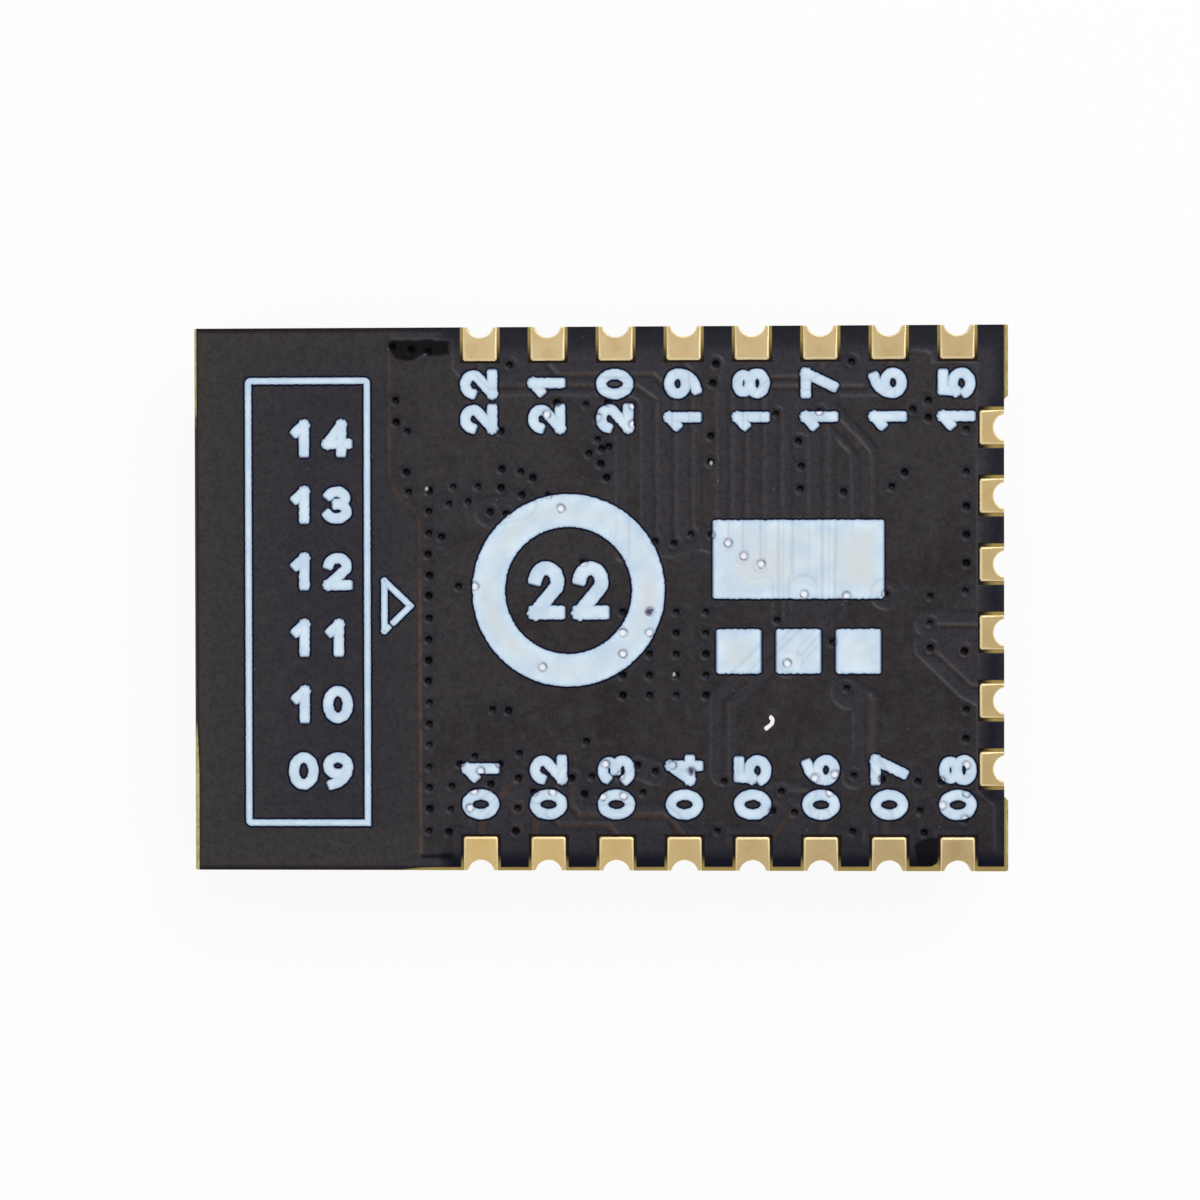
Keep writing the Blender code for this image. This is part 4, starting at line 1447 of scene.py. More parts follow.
@dataclass
class PlatedPads:
    """The castellated pads: two lands with rounded edges and the half barrel between them.

    Attributes:
        stack: The board's heights.
        pads: Their places and sizes.
        finish: Their finish.
        corner: Corner radius of a land in plan.
        round_in: How far a land's edge is rounded in plan.
        round_down: How far it is rounded in height.
        face_ring: Width of the flat ring inside the rounding.
        horn: Depth of the narrow horns beside the half-hole.
        horn_share: Share of the rounding at the board's edge.
        arc_share: Share of the rounding along the half-hole.
        arc_points: Points along the half-hole.
        corner_points: Points round a corner.
        bevel_rows: Rows of points across the rounding.
        overlap: How far the barrel runs into the lands.
    """

    stack: Stack
    pads: PadRows
    finish: GoldFinish
    corner: float = 0.085
    round_in: float = 0.065
    round_down: float = 0.036
    face_ring: float = 0.02
    horn: float = 0.15
    horn_share: float = 0.45
    arc_share: float = 0.4
    arc_points: int = 29
    corner_points: int = 5
    bevel_rows: int = 7
    overlap: float = 0.004

    def arc(self, radius: float) -> Array:
        """Plan points on the part of a hole's circle that lies inside the board, in pad axes."""
        outset = self.pads.hole_outset
        start = math.asin(outset / radius)
        sweep = np.linspace(math.pi - start, start, self.arc_points)
        return np.stack((np.cos(sweep), np.sin(sweep)), axis=1) * radius - (0.0, outset)

    def outline(self, depth: float) -> Array:
        """Land outline in pad axes: the half-hole's arc and rounded inner corners.

        Args:
            depth: Depth of the land.

        Returns:
            Plan points, counter-clockwise.
        """
        half, r = self.pads.land_width / 2, self.corner
        turn = np.linspace(0.0, QUARTER, self.corner_points)
        right = np.stack((half - r + r * np.cos(turn), depth - r + r * np.sin(turn)), axis=1)
        left = np.stack((r - half - r * np.sin(turn), depth - r + r * np.cos(turn)), axis=1)
        arc = self.arc(self.pads.hole_radius)
        return np.concatenate((arc, [(half, 0.0)], right, left, [(-half, 0.0)]))

    def land(self, depth: float, foot: float, face: float, edge: Edge) -> Surface:
        """One land: its outline stacked from foot to face, drawn in at the face along a soft bevel.

        The bevel is the mean of a quarter ellipse and of the straight line between its ends. The
        outline is drawn in less along the half-hole's arc and on the narrow horns beside it.

        Args:
            depth: Depth of the land.
            foot: Z against the laminate.
            face: Z of its flat face.
            edge: The board edge that it sits on; the arc of a lower pad gets no painted highlight.

        Returns:
            The land's mesh.
        """
        plan = self.outline(depth)
        on_arc = np.arange(len(plan)) < self.arc_points
        normal = np.zeros(plan.shape)
        for side in (plan - np.roll(plan, 1, axis=0), np.roll(plan, -1, axis=0) - plan):
            across = np.stack((side[:, 1], -side[:, 0]), axis=1)
            normal += across / np.linalg.norm(side, axis=1)[:, None]
        normal /= np.maximum((normal**2).sum(axis=1, keepdims=True) / 2, 0.5)
        normal *= np.clip(self.horn_share + plan[:, 1:] / self.horn, self.horn_share, 1.0)
        normal[on_arc] *= self.arc_share
        up = math.copysign(1.0, face - foot)
        angle = np.linspace(0.0, QUARTER, self.bevel_rows)
        straight = angle / math.pi
        inset = self.round_in * ((1.0 - np.cos(angle)) / 2 + straight)
        drop = self.round_down * ((1.0 - np.sin(angle)) / 2 + 0.5 - straight)
        inset = np.concatenate(([0.0], inset, [self.round_in + self.face_ring]))
        level = np.concatenate(([foot], face - up * drop, [face]))
        # Painted highlight along the rounded rim, none on the arc of a lower pad.
        painted_highlight_rows = np.concatenate(([0.0], smoothstep(angle, 0.1, 0.9), [0.0]))
        highlight_share = np.where(on_arc, 0.0 if edge is Edge.LOWER else 0.9, 0.70)
        land = tube(stacked(plan - normal * inset[:, None, None], level), flip=up > 0)
        land.values["rim"] = (painted_highlight_rows[:, None] * highlight_share).ravel()
        return land

    def barrel(self) -> Surface:
        """Half barrel: an arc of the plated hole and its wall, carried from land to land."""
        inner = self.pads.hole_radius
        loop = np.concatenate((self.arc(inner), self.arc(inner + self.pads.plating)[::-1]))
        low = self.stack.laminate_front - self.overlap
        high = self.stack.laminate_back + self.overlap
        barrel = tube(stacked(loop, np.linspace(low, high, 9)))
        barrel.values["rim"] = np.zeros(len(barrel.points))
        return barrel

    def build(self) -> None:
        """Make every pad from its lands and barrel and put it on its edge."""
        stack, pads = self.stack, self.pads
        material = self.finish.material()
        side_x, width = pads.side_x(), stack.half_width
        places = [(Edge.LOWER, pads.side_depth, (x, -width)) for x in side_x]
        places += [(Edge.END, pads.end_depth, (stack.end_edge, y)) for y in pads.end_y()]
        places += [(Edge.UPPER, pads.side_depth, (x, width)) for x in side_x[::-1]]
        barrel = self.barrel()
        for number, (edge, depth, spot) in enumerate(places, 1):
            back = self.land(depth, stack.laminate_back, stack.land_back, edge)
            front = self.land(depth, stack.laminate_front, stack.land_front, edge)
            pad = joined((back, front, barrel)).turned(edge.value, spot)
            node = f"castellation_{number:02d}"
            add_piece(f"gold_pad_{number:02d}", pad, material, [node], sharp=40.0)


def ellipse(x: float, y: float, rx: float, ry: float, start: float, stop: float) -> Array:
    """Points on part of an ellipse.

    Args:
        x: X of its middle.
        y: Y of its middle.
        rx: Half axis along X.
        ry: Half axis along Y.
        start: First angle, in degrees.
        stop: Last angle, in degrees.

    Returns:
        Plan points.
    """
    t = np.radians(np.linspace(start, stop, 121))
    return np.stack((x + rx * np.cos(t), y + ry * np.sin(t)), axis=1)


def line(*points: Point) -> Array:
    """A straight stroke through plan points."""
    return np.array(points)


def ring(x: float, y: float, rx: float, ry: float) -> Array:
    """A whole ellipse as a stroke."""
    return ellipse(x, y, rx, ry, 90, 450)


# Middle lines of the strokes of each digit, in a box from 0 to 1 each way
NUMERALS: tuple[tuple[Array, ...], ...] = (
    (ring(0.5, 0.5, 0.5, 0.5),),
    (line((0.16, 0.74), (0.56, 1.0)), line((0.56, 1.0), (0.56, 0.0))),
    (
        np.concatenate((ellipse(0.5, 0.70, 0.46, 0.30, 165, -25), line((0.55, 0.33), (0.04, 0.0)))),
        line((0.04, 0.0), (1.0, 0.0)),
    ),
    (ellipse(0.46, 0.76, 0.42, 0.24, 150, -85), ellipse(0.46, 0.27, 0.50, 0.27, 85, -150)),
    (
        line((0.70, 1.0), (0.0, 0.30)),
        line((0.0, 0.30), (1.0, 0.30)),
        line((0.70, 1.0), (0.70, 0.0)),
    ),
    (
        line((0.92, 1.0), (0.14, 1.0)),
        line((0.14, 1.0), (0.08, 0.54)),
        ellipse(0.46, 0.32, 0.52, 0.32, 140, -150),
    ),
    (
        ring(0.5, 0.31, 0.5, 0.31),
        np.concatenate((ellipse(0.95, 0.36, 0.95, 0.64, 180, 105), line((0.78, 1.0)))),
    ),
    (line((0.0, 1.0), (1.0, 1.0)), line((1.0, 1.0), (0.34, 0.0))),
    (ring(0.5, 0.77, 0.42, 0.23), ring(0.5, 0.27, 0.5, 0.27)),
    (
        ring(0.5, 0.69, 0.5, 0.31),
        np.concatenate((ellipse(0.05, 0.64, 0.95, 0.64, 0, -75), line((0.22, 0.0)))),
    ),
)


@dataclass
class Legend:
    """Printed legend: pad numbers, a frame with its pointer, and blank fields to write on.

    Attributes:
        side: The relief that the ink lies on.
        finish: Its finish.
        height: Height of a digit.
        width: Width of a digit.
        gap: Gap between digits.
        stroke: Width of a stroke.
        ink: Thickness of the ink.
        corner: Corner radius at the ends of a stroke.
        ragged: How far the margins wander.
        bleed: Width of the dark rim round the ink.
        frame_low: Lower left corner of the frame's middle line.
        frame_high: Upper right corner.
        line: Width of the frame's line.
        frame_corner: Radius of the frame's corners.
        square_end: Length of the stroke that squares off its lower right corner.
        upper_row: Shift along X and place along Y of the upper pads' numbers.
        lower_row: The same for the lower pads.
        column: Place of the first number of the end pads.
        column_step: From one of these to the next.
        pointer: Middle lines of the pointer's strokes.
        count_ring: Middle, radius and line width of the ring round the number of pads.
        block: Middle line and width of the block to write on.
        square: The same for the first square below it.
        square_step: From one square to the next.
        squares: Number of squares.
        pace: Distance between rows of points along a stroke.
        look: Distance over which a stroke's direction is taken.
        feather: Half width of the blend between ink and rim.
        rim: Thickness of the rim.
    """

    side: SolderSide
    finish: InkFinish
    height: float = 1.09
    width: float = 0.88
    gap: float = 0.14
    stroke: float = 0.30
    ink: float = 0.012
    corner: float = 0.11
    ragged: float = 0.011
    bleed: float = 0.070
    frame_low: Point = (-10.36, -6.60)
    frame_high: Point = (-6.84, 6.44)
    line: float = 0.182
    frame_corner: float = 0.06
    square_end: float = 0.80
    upper_row: Point = (-0.03, 5.80)
    lower_row: Point = (0.0, -5.54)
    column: Point = (-8.23, 4.74)
    column_step: float = 1.962
    pointer: tuple[Path, ...] = (
        ((-6.335, 0.535), (-6.335, -0.935)),
        ((-6.335, -0.935), (-6.231, -0.840)),
        ((-6.062, -0.685), (-5.565, -0.20)),
        ((-5.565, -0.20), (-6.335, 0.535)),
    )
    count_ring: tuple[Point, float, float] = ((-0.90, 0.25), 2.35, 0.95)
    block: tuple[Path, float] = (((3.35, 1.15), (8.35, 1.15)), 2.30)
    square: tuple[Path, float] = (((3.45, -1.55), (4.75, -1.55)), 1.30)
    square_step: float = 1.75
    squares: int = 3
    pace: float = 0.035
    look: float = 0.03
    feather: float = 0.012
    rim: float = 0.003

    def stations(self, path: Array, half: float, closed: bool, bar: bool) -> tuple[Array, ...]:
        """Rows along a path, closer together at its open ends, where the half width shrinks.

        It shrinks as a corner's circle does.

        Args:
            path: Plan points of the middle line.
            half: Half the width, with the rim.
            closed: Whether the path ends where it starts.
            bar: Whether the ink stops at the path's ends and not half a width past them.

        Returns:
            Plan points, directions, half widths and distances from the nearer end, row by row.
        """
        corner = min(self.corner + self.bleed, half)
        reach = 0.0 if closed else self.bleed if bar else half
        along = np.cumsum(np.linalg.norm(np.diff(path, axis=0, prepend=path[:1]), axis=1))
        span = along[-1]
        steps = math.ceil(span / self.pace)
        if closed:
            s = np.linspace(0.0, span, max(24, steps))
        else:
            body = np.linspace(corner, span + 2 * reach - corner, max(3, steps))
            tip = corner * (1.0 - np.cos(np.linspace(0.0, QUARTER, 8)))[:-1]
            s = np.concatenate((tip, body, span + 2 * reach - tip[::-1])) - reach
        near = np.clip(s, 0.0, span)
        ahead, behind = near + self.look, near - self.look
        if closed:
            ahead, behind = np.mod(ahead, span), np.mod(behind, span)
        spots, ahead, behind = (
            np.stack([np.interp(places, along, axis) for axis in path.T], axis=1)
            for places in (near, ahead, behind)
        )
        tangent = ahead - behind
        tangent /= np.hypot(tangent[:, :1], tangent[:, 1:])
        spots = spots + (s - near)[:, None] * tangent
        wide = inward = np.full(s.shape, half)
        if not closed:
            inward = np.minimum(s + reach, span + reach - s)
            short = corner - np.clip(inward, 0.0, corner)
            wide = half - corner + np.sqrt(np.maximum(corner**2 - short**2, 0.0))
        return spots, tangent, wide[:, None], inward[:, None]

    def section(self, width: float, half: float) -> tuple[Array, Array]:
        """Places round the cross-section of a stroke, as shares of its half width.

        Args:
            width: Full width of the ink.
            half: Half the width, with the rim.

        Returns:
            Shares from -1 to 1, and which of them lie on the upper side.
        """
        inset = (self.feather, self.bleed - self.feather, self.bleed + self.feather)
        foot, rim, inner = (1.0 - d / half for d in inset)
        flat = np.linspace(-inner, inner, max(7, math.ceil(width / 0.045) | 1))
        upper = np.concatenate(([-1.0, -foot, -rim], flat, [rim, foot, 1.0]))
        lower = np.linspace(0.94, -0.94, max(2, len(upper) // 6))
        return np.concatenate((upper, lower)), np.repeat((True, False), (len(upper), len(lower)))

    def marks(self, x: Array, y: Array, seed: int) -> dict[str, Array]:
        """Painted shade over dips round vias and along copper edges, and drops of ink in vias.

        Args:
            x: Places along X.
            y: Places along Y.
            seed: Picks where the rings round vias are broken.

        Returns:
            Shares of the two, by name.
        """
        dx, dy, own = self.side.nearest_via(x, y)
        via = np.hypot(dx, dy)
        broken = 0.4 + 0.6 * smoothstep(ripple(x, y, 0.3, seed + 7), -0.6, 0.5)
        # Painted shade in the ink over the dips round vias and along copper edges.
        dip = bell(via, 0.115, 0.028) * 0.9 * broken
        dip = np.maximum(dip, smoothstep(via, 0.11, 0.08) * (own < 0.10))
        crease_shade = bell(self.side.copper_fields(x, y)[0], 0.02, 0.035) * 0.12
        drop = smoothstep(via, 0.095, 0.060) * (own > 0.25)
        return {"dip": np.maximum(dip, crease_shade), "spot": drop}

    def stripe(
        self,
        path: Array,
        width: float,
        closed: bool = False,
        bar: bool = False,
        seed: int = 1,
        over: int = 0,
    ) -> Surface:
        """Ink along a path: a low cushion profile carried along it and laid on the film's relief.

        The cross-section is a closed loop. Its upper side is flat and falls off by a cubic step to
        the thin rim; its lower side lies under the film. The margins are a little ragged.

        Args:
            path: Plan points of the middle line.
            width: Full width.
            closed: Whether the path ends where it starts.
            bar: Whether the ink stops at the path's ends and not half a width past them.
            seed: Picks the raggedness.
            over: How many strokes of the same number lie under this one.

        Returns:
            The stripe's mesh.
        """
        half, bleed, floor = width / 2 + self.bleed, self.bleed, self.side.stack.laminate_back
        spots, tangent, wide, inward = self.stations(path, half, closed, bar)
        t, upper = self.section(width, half)
        x, y = spots[:, :1], spots[:, 1:]
        rag = self.ragged * ripple(x + np.sign(t) * 3.7, y, 0.14, seed) * (np.abs(t) > 0.5)
        offset = t * (wide + rag * (wide / half))
        x, y = x - offset * tangent[:, 1:], y + offset * tangent[:, :1]
        depth = np.minimum(wide * (1.0 - np.abs(t)), inward)
        cushion = self.ink + 0.002 * over - self.rim
        thick = self.rim + cushion * smoothstep(depth, bleed - 0.02, bleed + 0.05)
        thick = np.where(depth > 0.001, thick, -self.rim)
        level = np.where(upper, self.side.height(x, y) + thick, floor + 0.001)
        shape = tube(np.stack((x, y, level), axis=-1))
        if closed:
            count = len(shape.points) - len(t)
            shape = Surface(shape.points[:count], shape.quads % count)
            depth = depth[:-1]
        depth = depth.ravel()
        shape.values = {
            "margin": 1.0 - smoothstep(depth, bleed - self.feather, bleed + self.feather),
            "core": smoothstep(depth, bleed, bleed + 0.075),
            "deep": smoothstep(depth, bleed + 0.12, bleed + 0.45),
            **self.marks(shape.points[:, 0], shape.points[:, 1], seed),
        }
        return shape

    def number(self, text: str, centre: Point, reading: Reading, seed: int) -> list[Surface]:
        """The strokes of a number.

        Args:
            text: Its digits.
            centre: Middle of the number.
            reading: How it is turned.
            seed: Picks the raggedness.

        Returns:
            One mesh per stroke.
        """
        total = len(text) * self.width + (len(text) - 1) * self.gap
        size = np.array((self.width - self.stroke, self.height - self.stroke))
        a = math.radians(reading.value)
        turn = np.array(((math.cos(a), math.sin(a)), (-math.sin(a), math.cos(a))))
        made = []
        for place, character in enumerate(text):
            left = place * (self.width + self.gap) - (total - self.stroke) / 2
            for order, middle in enumerate(NUMERALS[int(character)]):
                path = (middle * size + (left, -size[1] / 2)) @ turn + np.array(centre)
                loop = bool(np.allclose(middle[0], middle[-1]))
                own = seed * 10 + place * 3 + order
                made.append(self.stripe(path, self.stroke, loop, seed=own, over=order))
        return made

    def build(self) -> None:
        """Print the numbers, the frame, the pointer and the blank fields."""
        pads = self.side.pads
        upper, lower, column = [], [], []
        last_end = pads.side_count + pads.end_count
        last = last_end + pads.side_count
        for index, x in enumerate(pads.side_x()):
            spot = (x + self.upper_row[0], self.upper_row[1])
            upper += self.number(f"{last - index:02d}", spot, Reading.UPWARDS, index + 1)
            spot = (x + self.lower_row[0], self.lower_row[1])
            lower += self.number(f"{index + 1:02d}", spot, Reading.UPWARDS, index + 21)
        for index in range(pads.end_count):
            spot = (self.column[0], self.column[1] - self.column_step * index)
            column += self.number(f"{last_end - index:02d}", spot, Reading.UPRIGHT, index + 41)
        pointer = [
            self.stripe(np.array(stroke), self.line, seed=71 + index)
            for index, stroke in enumerate(self.pointer)
        ]
        middle, radius, thick = self.count_ring
        stamp = [self.stripe(ring(*middle, radius, radius), thick, True, seed=81)]
        large = replace(self, height=1.70, width=1.10, gap=0.20, stroke=0.40)
        stamp += large.number(f"{last}", middle, Reading.UPRIGHT, 83)
        path, width = self.block
        block = [self.stripe(np.array(path), width, bar=True, seed=91)]
        path, width = self.square
        for index in range(self.squares):
            spot = np.array(path) + (self.square_step * index, 0.0)
            block.append(self.stripe(spot, width, bar=True, seed=93 + index))
        pieces = {
            "legend_upper_numbers": upper,
            "legend_lower_numbers": lower,
            "legend_column_numbers": column,
            "legend_frame": self.frame_lines(),
            "legend_pointer": pointer,
            "legend_pad_count": stamp,
            "legend_write_on_block": block,
        }
        material = self.finish.material()
        for name, parts in pieces.items():
            add_piece(name, joined(parts), material)
        self.fleck()

    def fleck(self) -> None:
        """Print the stray drop of white ink: a thin tip that runs into a tail along a parabola."""
        white = replace(
            self.finish,
            name="stray_ink",
            full=(1.0, 0.98, 0.96),
            thin=(0.94, 0.90, 0.88),
            bleed=(0.016, 0.014, 0.016),
        )
        small = replace(self, bleed=0.03, corner=0.06, ragged=0.008)
        t = np.linspace(0.0, 1.0, 25)[:, None]
        start, bend, stop = np.array(((5.05, -3.50), (5.17, -3.63), (4.910, -3.805)))
        tail = start * (1 - t) ** 2 + bend * 2 * t * (1 - t) + stop * t**2
        tip = np.array(((5.035, -3.455), (5.07, -3.53)))
        drop = [small.stripe(tip, 0.06, seed=99), small.stripe(tail, 0.120, seed=98, over=1)]
        add_piece("legend_fleck", joined(drop), white.material())

    def frame_lines(self) -> list[Surface]:
        """The frame: a rectangle with quarter-circle corners, and a square end at lower right."""
        (x0, y0), (x1, y1), r = self.frame_low, self.frame_high, self.frame_corner
        corners = ((x1 - r, y1 - r), (x0 + r, y1 - r), (x0 + r, y0 + r), (x1 - r, y0 + r))
        runs = [
            ellipse(x, y, r, r, 90 * turn, 90 * turn + 90) for turn, (x, y) in enumerate(corners)
        ]
        path = np.concatenate(runs + [runs[0][:1]])
        stop = np.array(((x1 - self.square_end, y0), (x1 + self.line / 2, y0)))
        square = replace(self, corner=0.0)
        return [
            self.stripe(path, self.line, True, seed=61),
            square.stripe(stop, self.line, bar=True, seed=62, over=1),
        ]


def dress(names: Sequence[str], material: Material) -> None:
    """Give CAD nodes a material.

    Args:
        names: The nodes.
        material: What they get.
    """
    for name in names:
        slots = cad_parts[name].data.materials
        slots.clear()
        slots.append(material)
    LOG.info("%s: dressed %d nodes", material.name, len(names))


@dataclass
class BoardCore:
    """Cut laminate, the film on its component side and the printed antenna, in their CAD shapes.

    Attributes:
        laminate: Finish of the cut edges and etched faces.
        film: Finish of the component-side film.
        copper: Finish of the antenna.
    """

    laminate: LaminateFinish
    film: MaskFinish
    copper: SheetFinish

    def dress(self) -> None:
        """Give the three nodes their finishes."""
        dress(["laminate_board"], self.laminate.material())
        dress(["solder_mask_front"], self.film.material())
        dress(["antenna_trace"], self.copper.material())


@dataclass
class ShieldCan:
    """Drawn can over the circuit and the solder that holds it.

    Attributes:
        can: Finish of the can.
        solder: Finish of the solder.
        sheet: Thickness of the sheet.
        corner: Corner radius in plan.
        edge: Radius of the edge round the flat face.
        fillets: Number of solder fillets.
    """

    can: SheetFinish
    solder: GrainFinish
    sheet: float = 0.20
    corner: float = 1.00
    edge: float = 0.40
    fillets: int = 8

    def rows(self, centre: Array, half: Array, inset: Array, level: Array) -> Array:
        """Rounded rectangles, one per row of a profile.

        Each is four quarter circles joined by straight runs. An inset shrinks the sides and the
        corners alike.

        Args:
            centre: Middle of the rectangle.
            half: Half its outer sides.
            inset: How far each row lies inside the outer wall.
            level: Z of each row.

        Returns:
            Points by row, by place along the outline and by coordinate.
        """
        turn = np.linspace(0.0, QUARTER, 17)
        angle = np.concatenate([turn + quarter * QUARTER for quarter in range(4)])
        sx = np.repeat((1.0, -1.0, -1.0, 1.0), len(turn))
        sy = np.repeat((1.0, 1.0, -1.0, -1.0), len(turn))
        radius = np.maximum(self.corner - inset, 0.05)[:, None]
        x = centre[0] + sx * (half[0] - inset[:, None] - radius) + radius * np.cos(angle)
        y = centre[1] + sy * (half[1] - inset[:, None] - radius) + radius * np.sin(angle)
        return stacked(np.stack((x, y), axis=-1), level)

    def shell(self) -> Surface:
        """The can: a profile of wall, rounded edge and face, out and back in, carried round it."""
        low, high = in_mm(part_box("shield_can"))
        rim, edge, sheet = high[2], self.edge, self.sheet
        angle = np.linspace(0.0, QUARTER, 9)[1:]
        drawn, raised = 1 - np.cos(angle), 1 - np.sin(angle)
        wall = np.linspace(rim - 0.05, edge, 8)
        outer_in = np.concatenate(([0.02], np.zeros(len(wall)), edge * drawn, [edge + 0.1]))
        outer_z = np.concatenate(([rim], wall, edge * raised, [0.0]))
        inner = edge - sheet
        inner_in = sheet + np.concatenate(([0.0, 0.0], inner * drawn, [inner + 0.1]))
        inner_z = np.concatenate(([rim, edge], sheet + inner * raised, [sheet]))
        inset = np.concatenate((outer_in[::-1], inner_in))
        level = np.concatenate((outer_z[::-1], inner_z))
        return tube(self.rows((low + high) / 2, (high - low) / 2, inset, level))

    def fillet(self, node: str, middle: Array) -> Surface:
        """One fillet: a hollow quarter-ellipse section along the wall that shrinks at both ends.

        Args:
            node: The CAD node that it stands for.
            middle: Middle of the can.

        Returns:
            The fillet's mesh.
        """
        low, high = in_mm(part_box(node))
        span, centre = high - low, (low + high) / 2
        run = 0 if span[0] > span[1] else 1
        out = 1 - run
        sign = math.copysign(1.0, centre[out] - middle[out])
        wall = low[out] if sign > 0 else high[out]
        t = np.sin(np.linspace(-1.0, 1.0, 29) * QUARTER)
        scale = (1.0 - 0.97 * np.abs(t) ** 5)[:, None]
        angle = np.linspace(0.0, QUARTER, 11)
        u = np.concatenate((span[out] * (1.0 - 0.93 * np.sin(angle)), [0.0, 0.0]))
        v = np.concatenate((span[2] * (1.0 - 0.93 * np.cos(angle)), [span[2], 0.0]))
        points = np.empty((len(t), len(u), 3))
        points[..., run] = (centre[run] + t * span[run] / 2)[:, None]
        points[..., out] = wall + sign * u * scale
        points[..., 2] = high[2] - v * scale
        return tube(points, flip=(sign > 0) != (run == 0))

    def build(self) -> None:
        """Make the can and its fillets."""
        low, high = in_mm(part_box("shield_can"))
        can = self.can.material()
        add_piece("drawn_can", self.shell(), can, ["shield_can"], sharp=50.0)
        solder = self.solder.material()
        for number in range(1, self.fillets + 1):
            node = f"shield_solder_{number}"
            shape = self.fillet(node, (low + high) / 2)
            add_piece(f"can_fillet_{number}", shape, solder, [node], sharp=50.0)


@dataclass
class Circuit:
    """Chip, crystal and chip parts under the can, in the shapes of the CAD nodes.

    Attributes:
        package: Finish of the chip.
        pad: Finish of its ground pad.
        tray: Finish of the crystal's tray.
        lid: Finish of the crystal's lid.
        bodies: Body and speck colours of chip parts, by the word in their names.
    """

    package: GrainFinish
    pad: GrainFinish
    tray: GrainFinish
    lid: SheetFinish
    bodies: dict[str, tuple[Colour, Colour]] = field(default_factory=lambda: {
        "capacitor": ((0.32, 0.19, 0.10), (0.40, 0.26, 0.15)),
        "resistor": ((0.020, 0.020, 0.024), (0.050, 0.050, 0.055)),
        "inductor": ((0.070, 0.070, 0.080), (0.130, 0.130, 0.140)),
    })

    def dress(self) -> None:
        """Give each node its finish; a chip part's ends are found from its box."""
        dress(["soc_package"], self.package.material())
        dress(["soc_thermal_pad"], self.pad.material())
        dress(["crystal_base"], self.tray.material())
        dress(["crystal_lid"], self.lid.material())
        for word, (body, speck) in self.bodies.items():
            for name in [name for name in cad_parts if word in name]:
                low, high = in_mm(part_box(name))
                run = 0 if high[0] - low[0] > high[1] - low[1] else 1
                centre, half = float(low[run] + high[run]) / 2, float(high[run] - low[run]) / 2
                finish = ChipFinish(f"{name}_body", body, speck, centre, half, "XY"[run])
                dress([name], finish.material())


# Studio


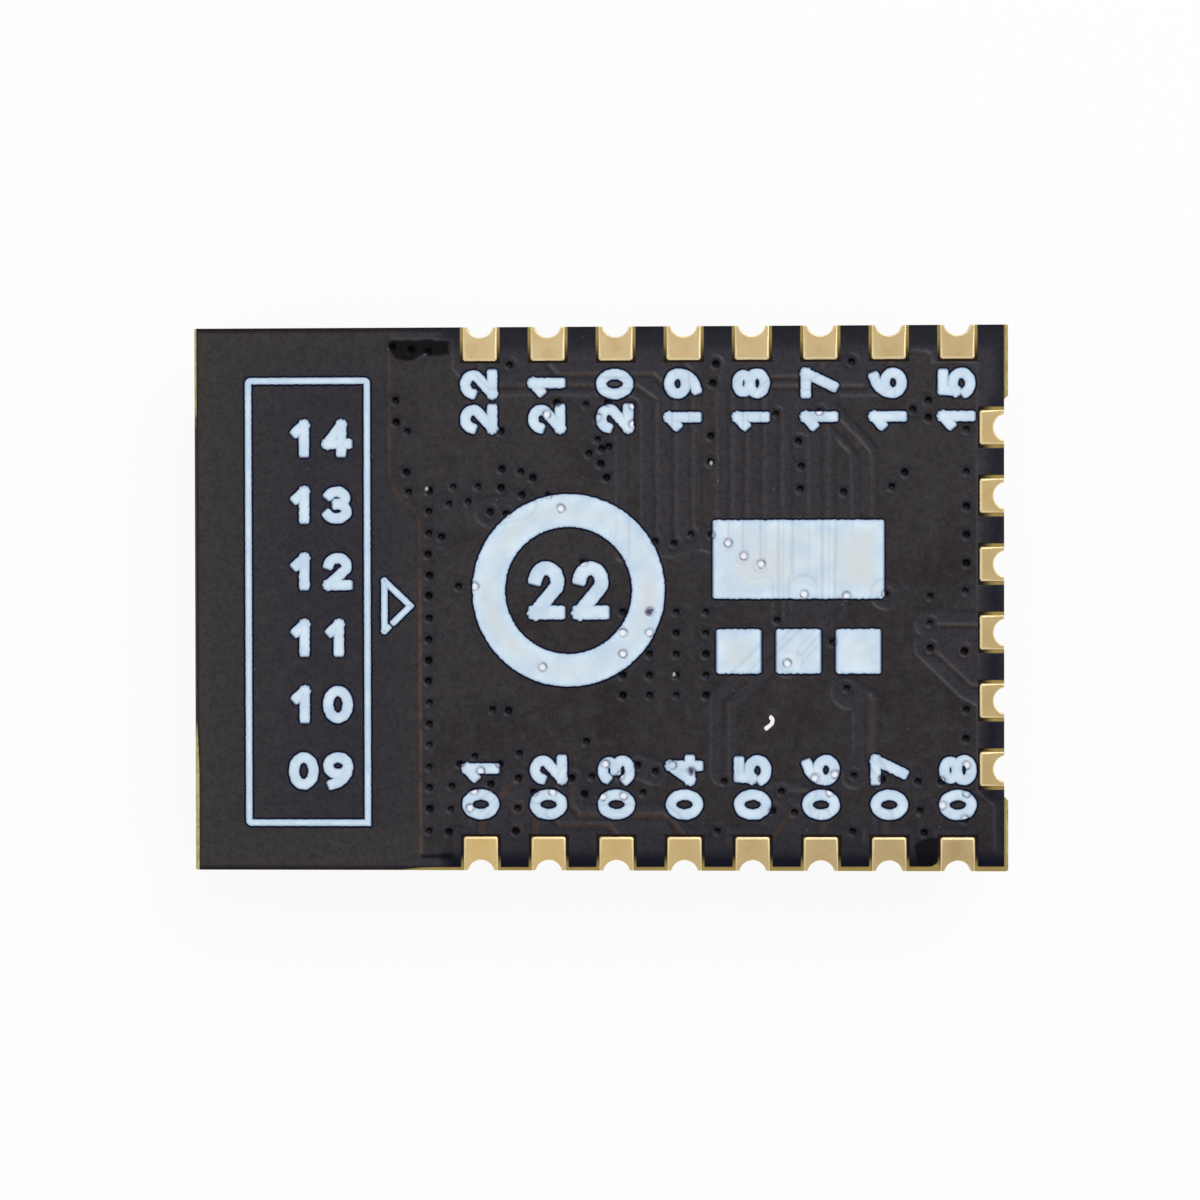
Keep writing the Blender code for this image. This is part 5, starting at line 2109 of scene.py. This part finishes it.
@dataclass(frozen=True)
class Studio:
    """Camera, soft light and white floor.

    Attributes:
        eye: Place of the camera.
        tilt: Turns of the camera about X, Y and Z, in degrees.
        lens: Focal length on a 36 mm sensor.
        sky: Strength of the even light.
        lamps: Name, place and side in metres, and power in W of each lamp.
    """

    eye: Triple = (3.005, 0.728, 83.1)
    tilt: Triple = (-0.55, 2.13, -0.11)
    lens: float = 81.7
    sky: float = 0.50
    lamps: tuple[tuple[str, Triple, float, float], ...] = (
        ("top_lamp", (-0.10, 0.03, 0.25), 0.20, 0.046),
        ("key_lamp", (0.11, 0.15, 0.19), 0.16, 0.28),
        ("left_lamp", (-0.20, 0.01, 0.13), 0.06, 0.038),
        ("right_lamp", (0.20, -0.02, 0.13), 0.06, 0.038),
        ("near_lamp", (-0.01, -0.20, 0.13), 0.06, 0.038),
        ("far_lamp", (0.01, 0.20, 0.13), 0.06, 0.038),
    )

    def build(self) -> None:
        """Set up the camera, the lamps, the world and the floor."""
        scene = bpy.context.scene
        scene.view_settings.view_transform = "Standard"
        camera = bpy.data.cameras.new("camera")
        camera.sensor_width = 36.0
        camera.lens = self.lens
        camera.clip_start = 0.005
        camera.clip_end = 10.0
        eye = bpy.data.objects.new("camera", camera)
        eye.rotation_euler = tuple(math.radians(a) for a in self.tilt)
        eye.location = Vector(self.eye) * MM
        scene.collection.objects.link(eye)
        scene.camera = eye
        for lamp in self.lamps:
            self.lamp(*lamp)
        self.world(scene)
        self.floor()

    def lamp(self, name: str, spot: Triple, size: float, power: float) -> None:
        """Add a square lamp that faces the board.

        Args:
            name: Its name.
            spot: Its place, in metres.
            size: Its side, in metres.
            power: Its power, in W.
        """
        light = bpy.data.lights.new(name, "AREA")
        light.size = size
        light.energy = power
        made = bpy.data.objects.new(name, light)
        made.location = spot
        made.rotation_euler = (-Vector(spot)).to_track_quat("-Z", "Y").to_euler()
        bpy.context.scene.collection.objects.link(made)

    def world(self, scene: bpy.types.Scene) -> None:
        """Even light, seen as plain white by the camera.

        Args:
            scene: The scene to light.
        """
        scene.world = bpy.data.worlds.new("studio")
        g = Graph(scene.world)
        g.set(Color=(1.0, 1.0, 1.0), Strength=self.sky)
        white = g.node("ShaderNodeBackground", {}, {"Color": (1.0, 1.0, 1.0), "Strength": 1.0})
        g.finish(g.node("ShaderNodeLightPath", {}, {}, "Is Camera Ray"), white)

    def floor(self) -> None:
        """White floor with a faint shadow: mostly plain white to the eye, diffuse to all else."""
        g = Graph.named("floor_white")
        g.set(Base_Color=(0.95, 0.95, 0.95), Roughness=0.9, Specular_IOR_Level=0.0)
        white = g.node("ShaderNodeEmission", {}, {"Color": (1.0, 1.0, 1.0), "Strength": 1.0})
        names = ("Is Camera Ray", "Is Glossy Ray", "Is Transmission Ray")
        eye, glossy, through = (g.node("ShaderNodeLightPath", {}, {}, name) for name in names)
        g.finish(eye.math("MAXIMUM", eye, eye.math("MAXIMUM", glossy, through)) * 0.90, white)
        mesh = bpy.data.meshes.new("floor")
        reach = 0.8
        signs = ((-1, -1), (1, -1), (1, 1), (-1, 1))
        mesh.from_pydata([(reach * x, reach * y, 0.0) for x, y in signs], [], [(0, 1, 2, 3)])
        mesh.materials.append(g.owner)
        made = bpy.data.objects.new("floor", mesh)
        bpy.context.scene.collection.objects.link(made)


def main() -> None:
    """Build the pieces in order and note the size of the result."""
    logging.basicConfig(level=logging.INFO, format="%(name)s %(message)s")
    stack = Stack.packed()
    pads = PadRows()
    side = SolderSide(stack, pads)
    Studio().build()
    mask = MaskFinish()
    BackFilm(side, mask).build()
    PlatedPads(stack, pads, GoldFinish()).build()
    Legend(side, InkFinish()).build()
    solder = GrainFinish("solder", (0.55, 0.56, 0.58), (0.40, 0.41, 0.43), 0.08, 0.25, 1.0)
    copper = SheetFinish("etched_copper", (0.62, 0.31, 0.17), (0.40, 0.19, 0.10), 0.36, 0.4)
    BoardCore(LaminateFinish(), mask, copper).dress()
    ShieldCan(SheetFinish(), solder).build()
    Circuit(
        GrainFinish("moulded_epoxy", (0.018, 0.018, 0.020), (0.040, 0.040, 0.042), 0.05, 0.55),
        GrainFinish("pad_solder", (0.50, 0.51, 0.53), (0.36, 0.37, 0.39), 0.10, 0.30, 1.0),
        GrainFinish("fired_tray", (0.30, 0.28, 0.25), (0.22, 0.20, 0.18), 0.04, 0.60),
        SheetFinish("crystal_lid_plate", (0.66, 0.64, 0.60), (0.48, 0.46, 0.42), 0.28, 0.1),
    ).dress()


if __name__ == "__main__":
    main()
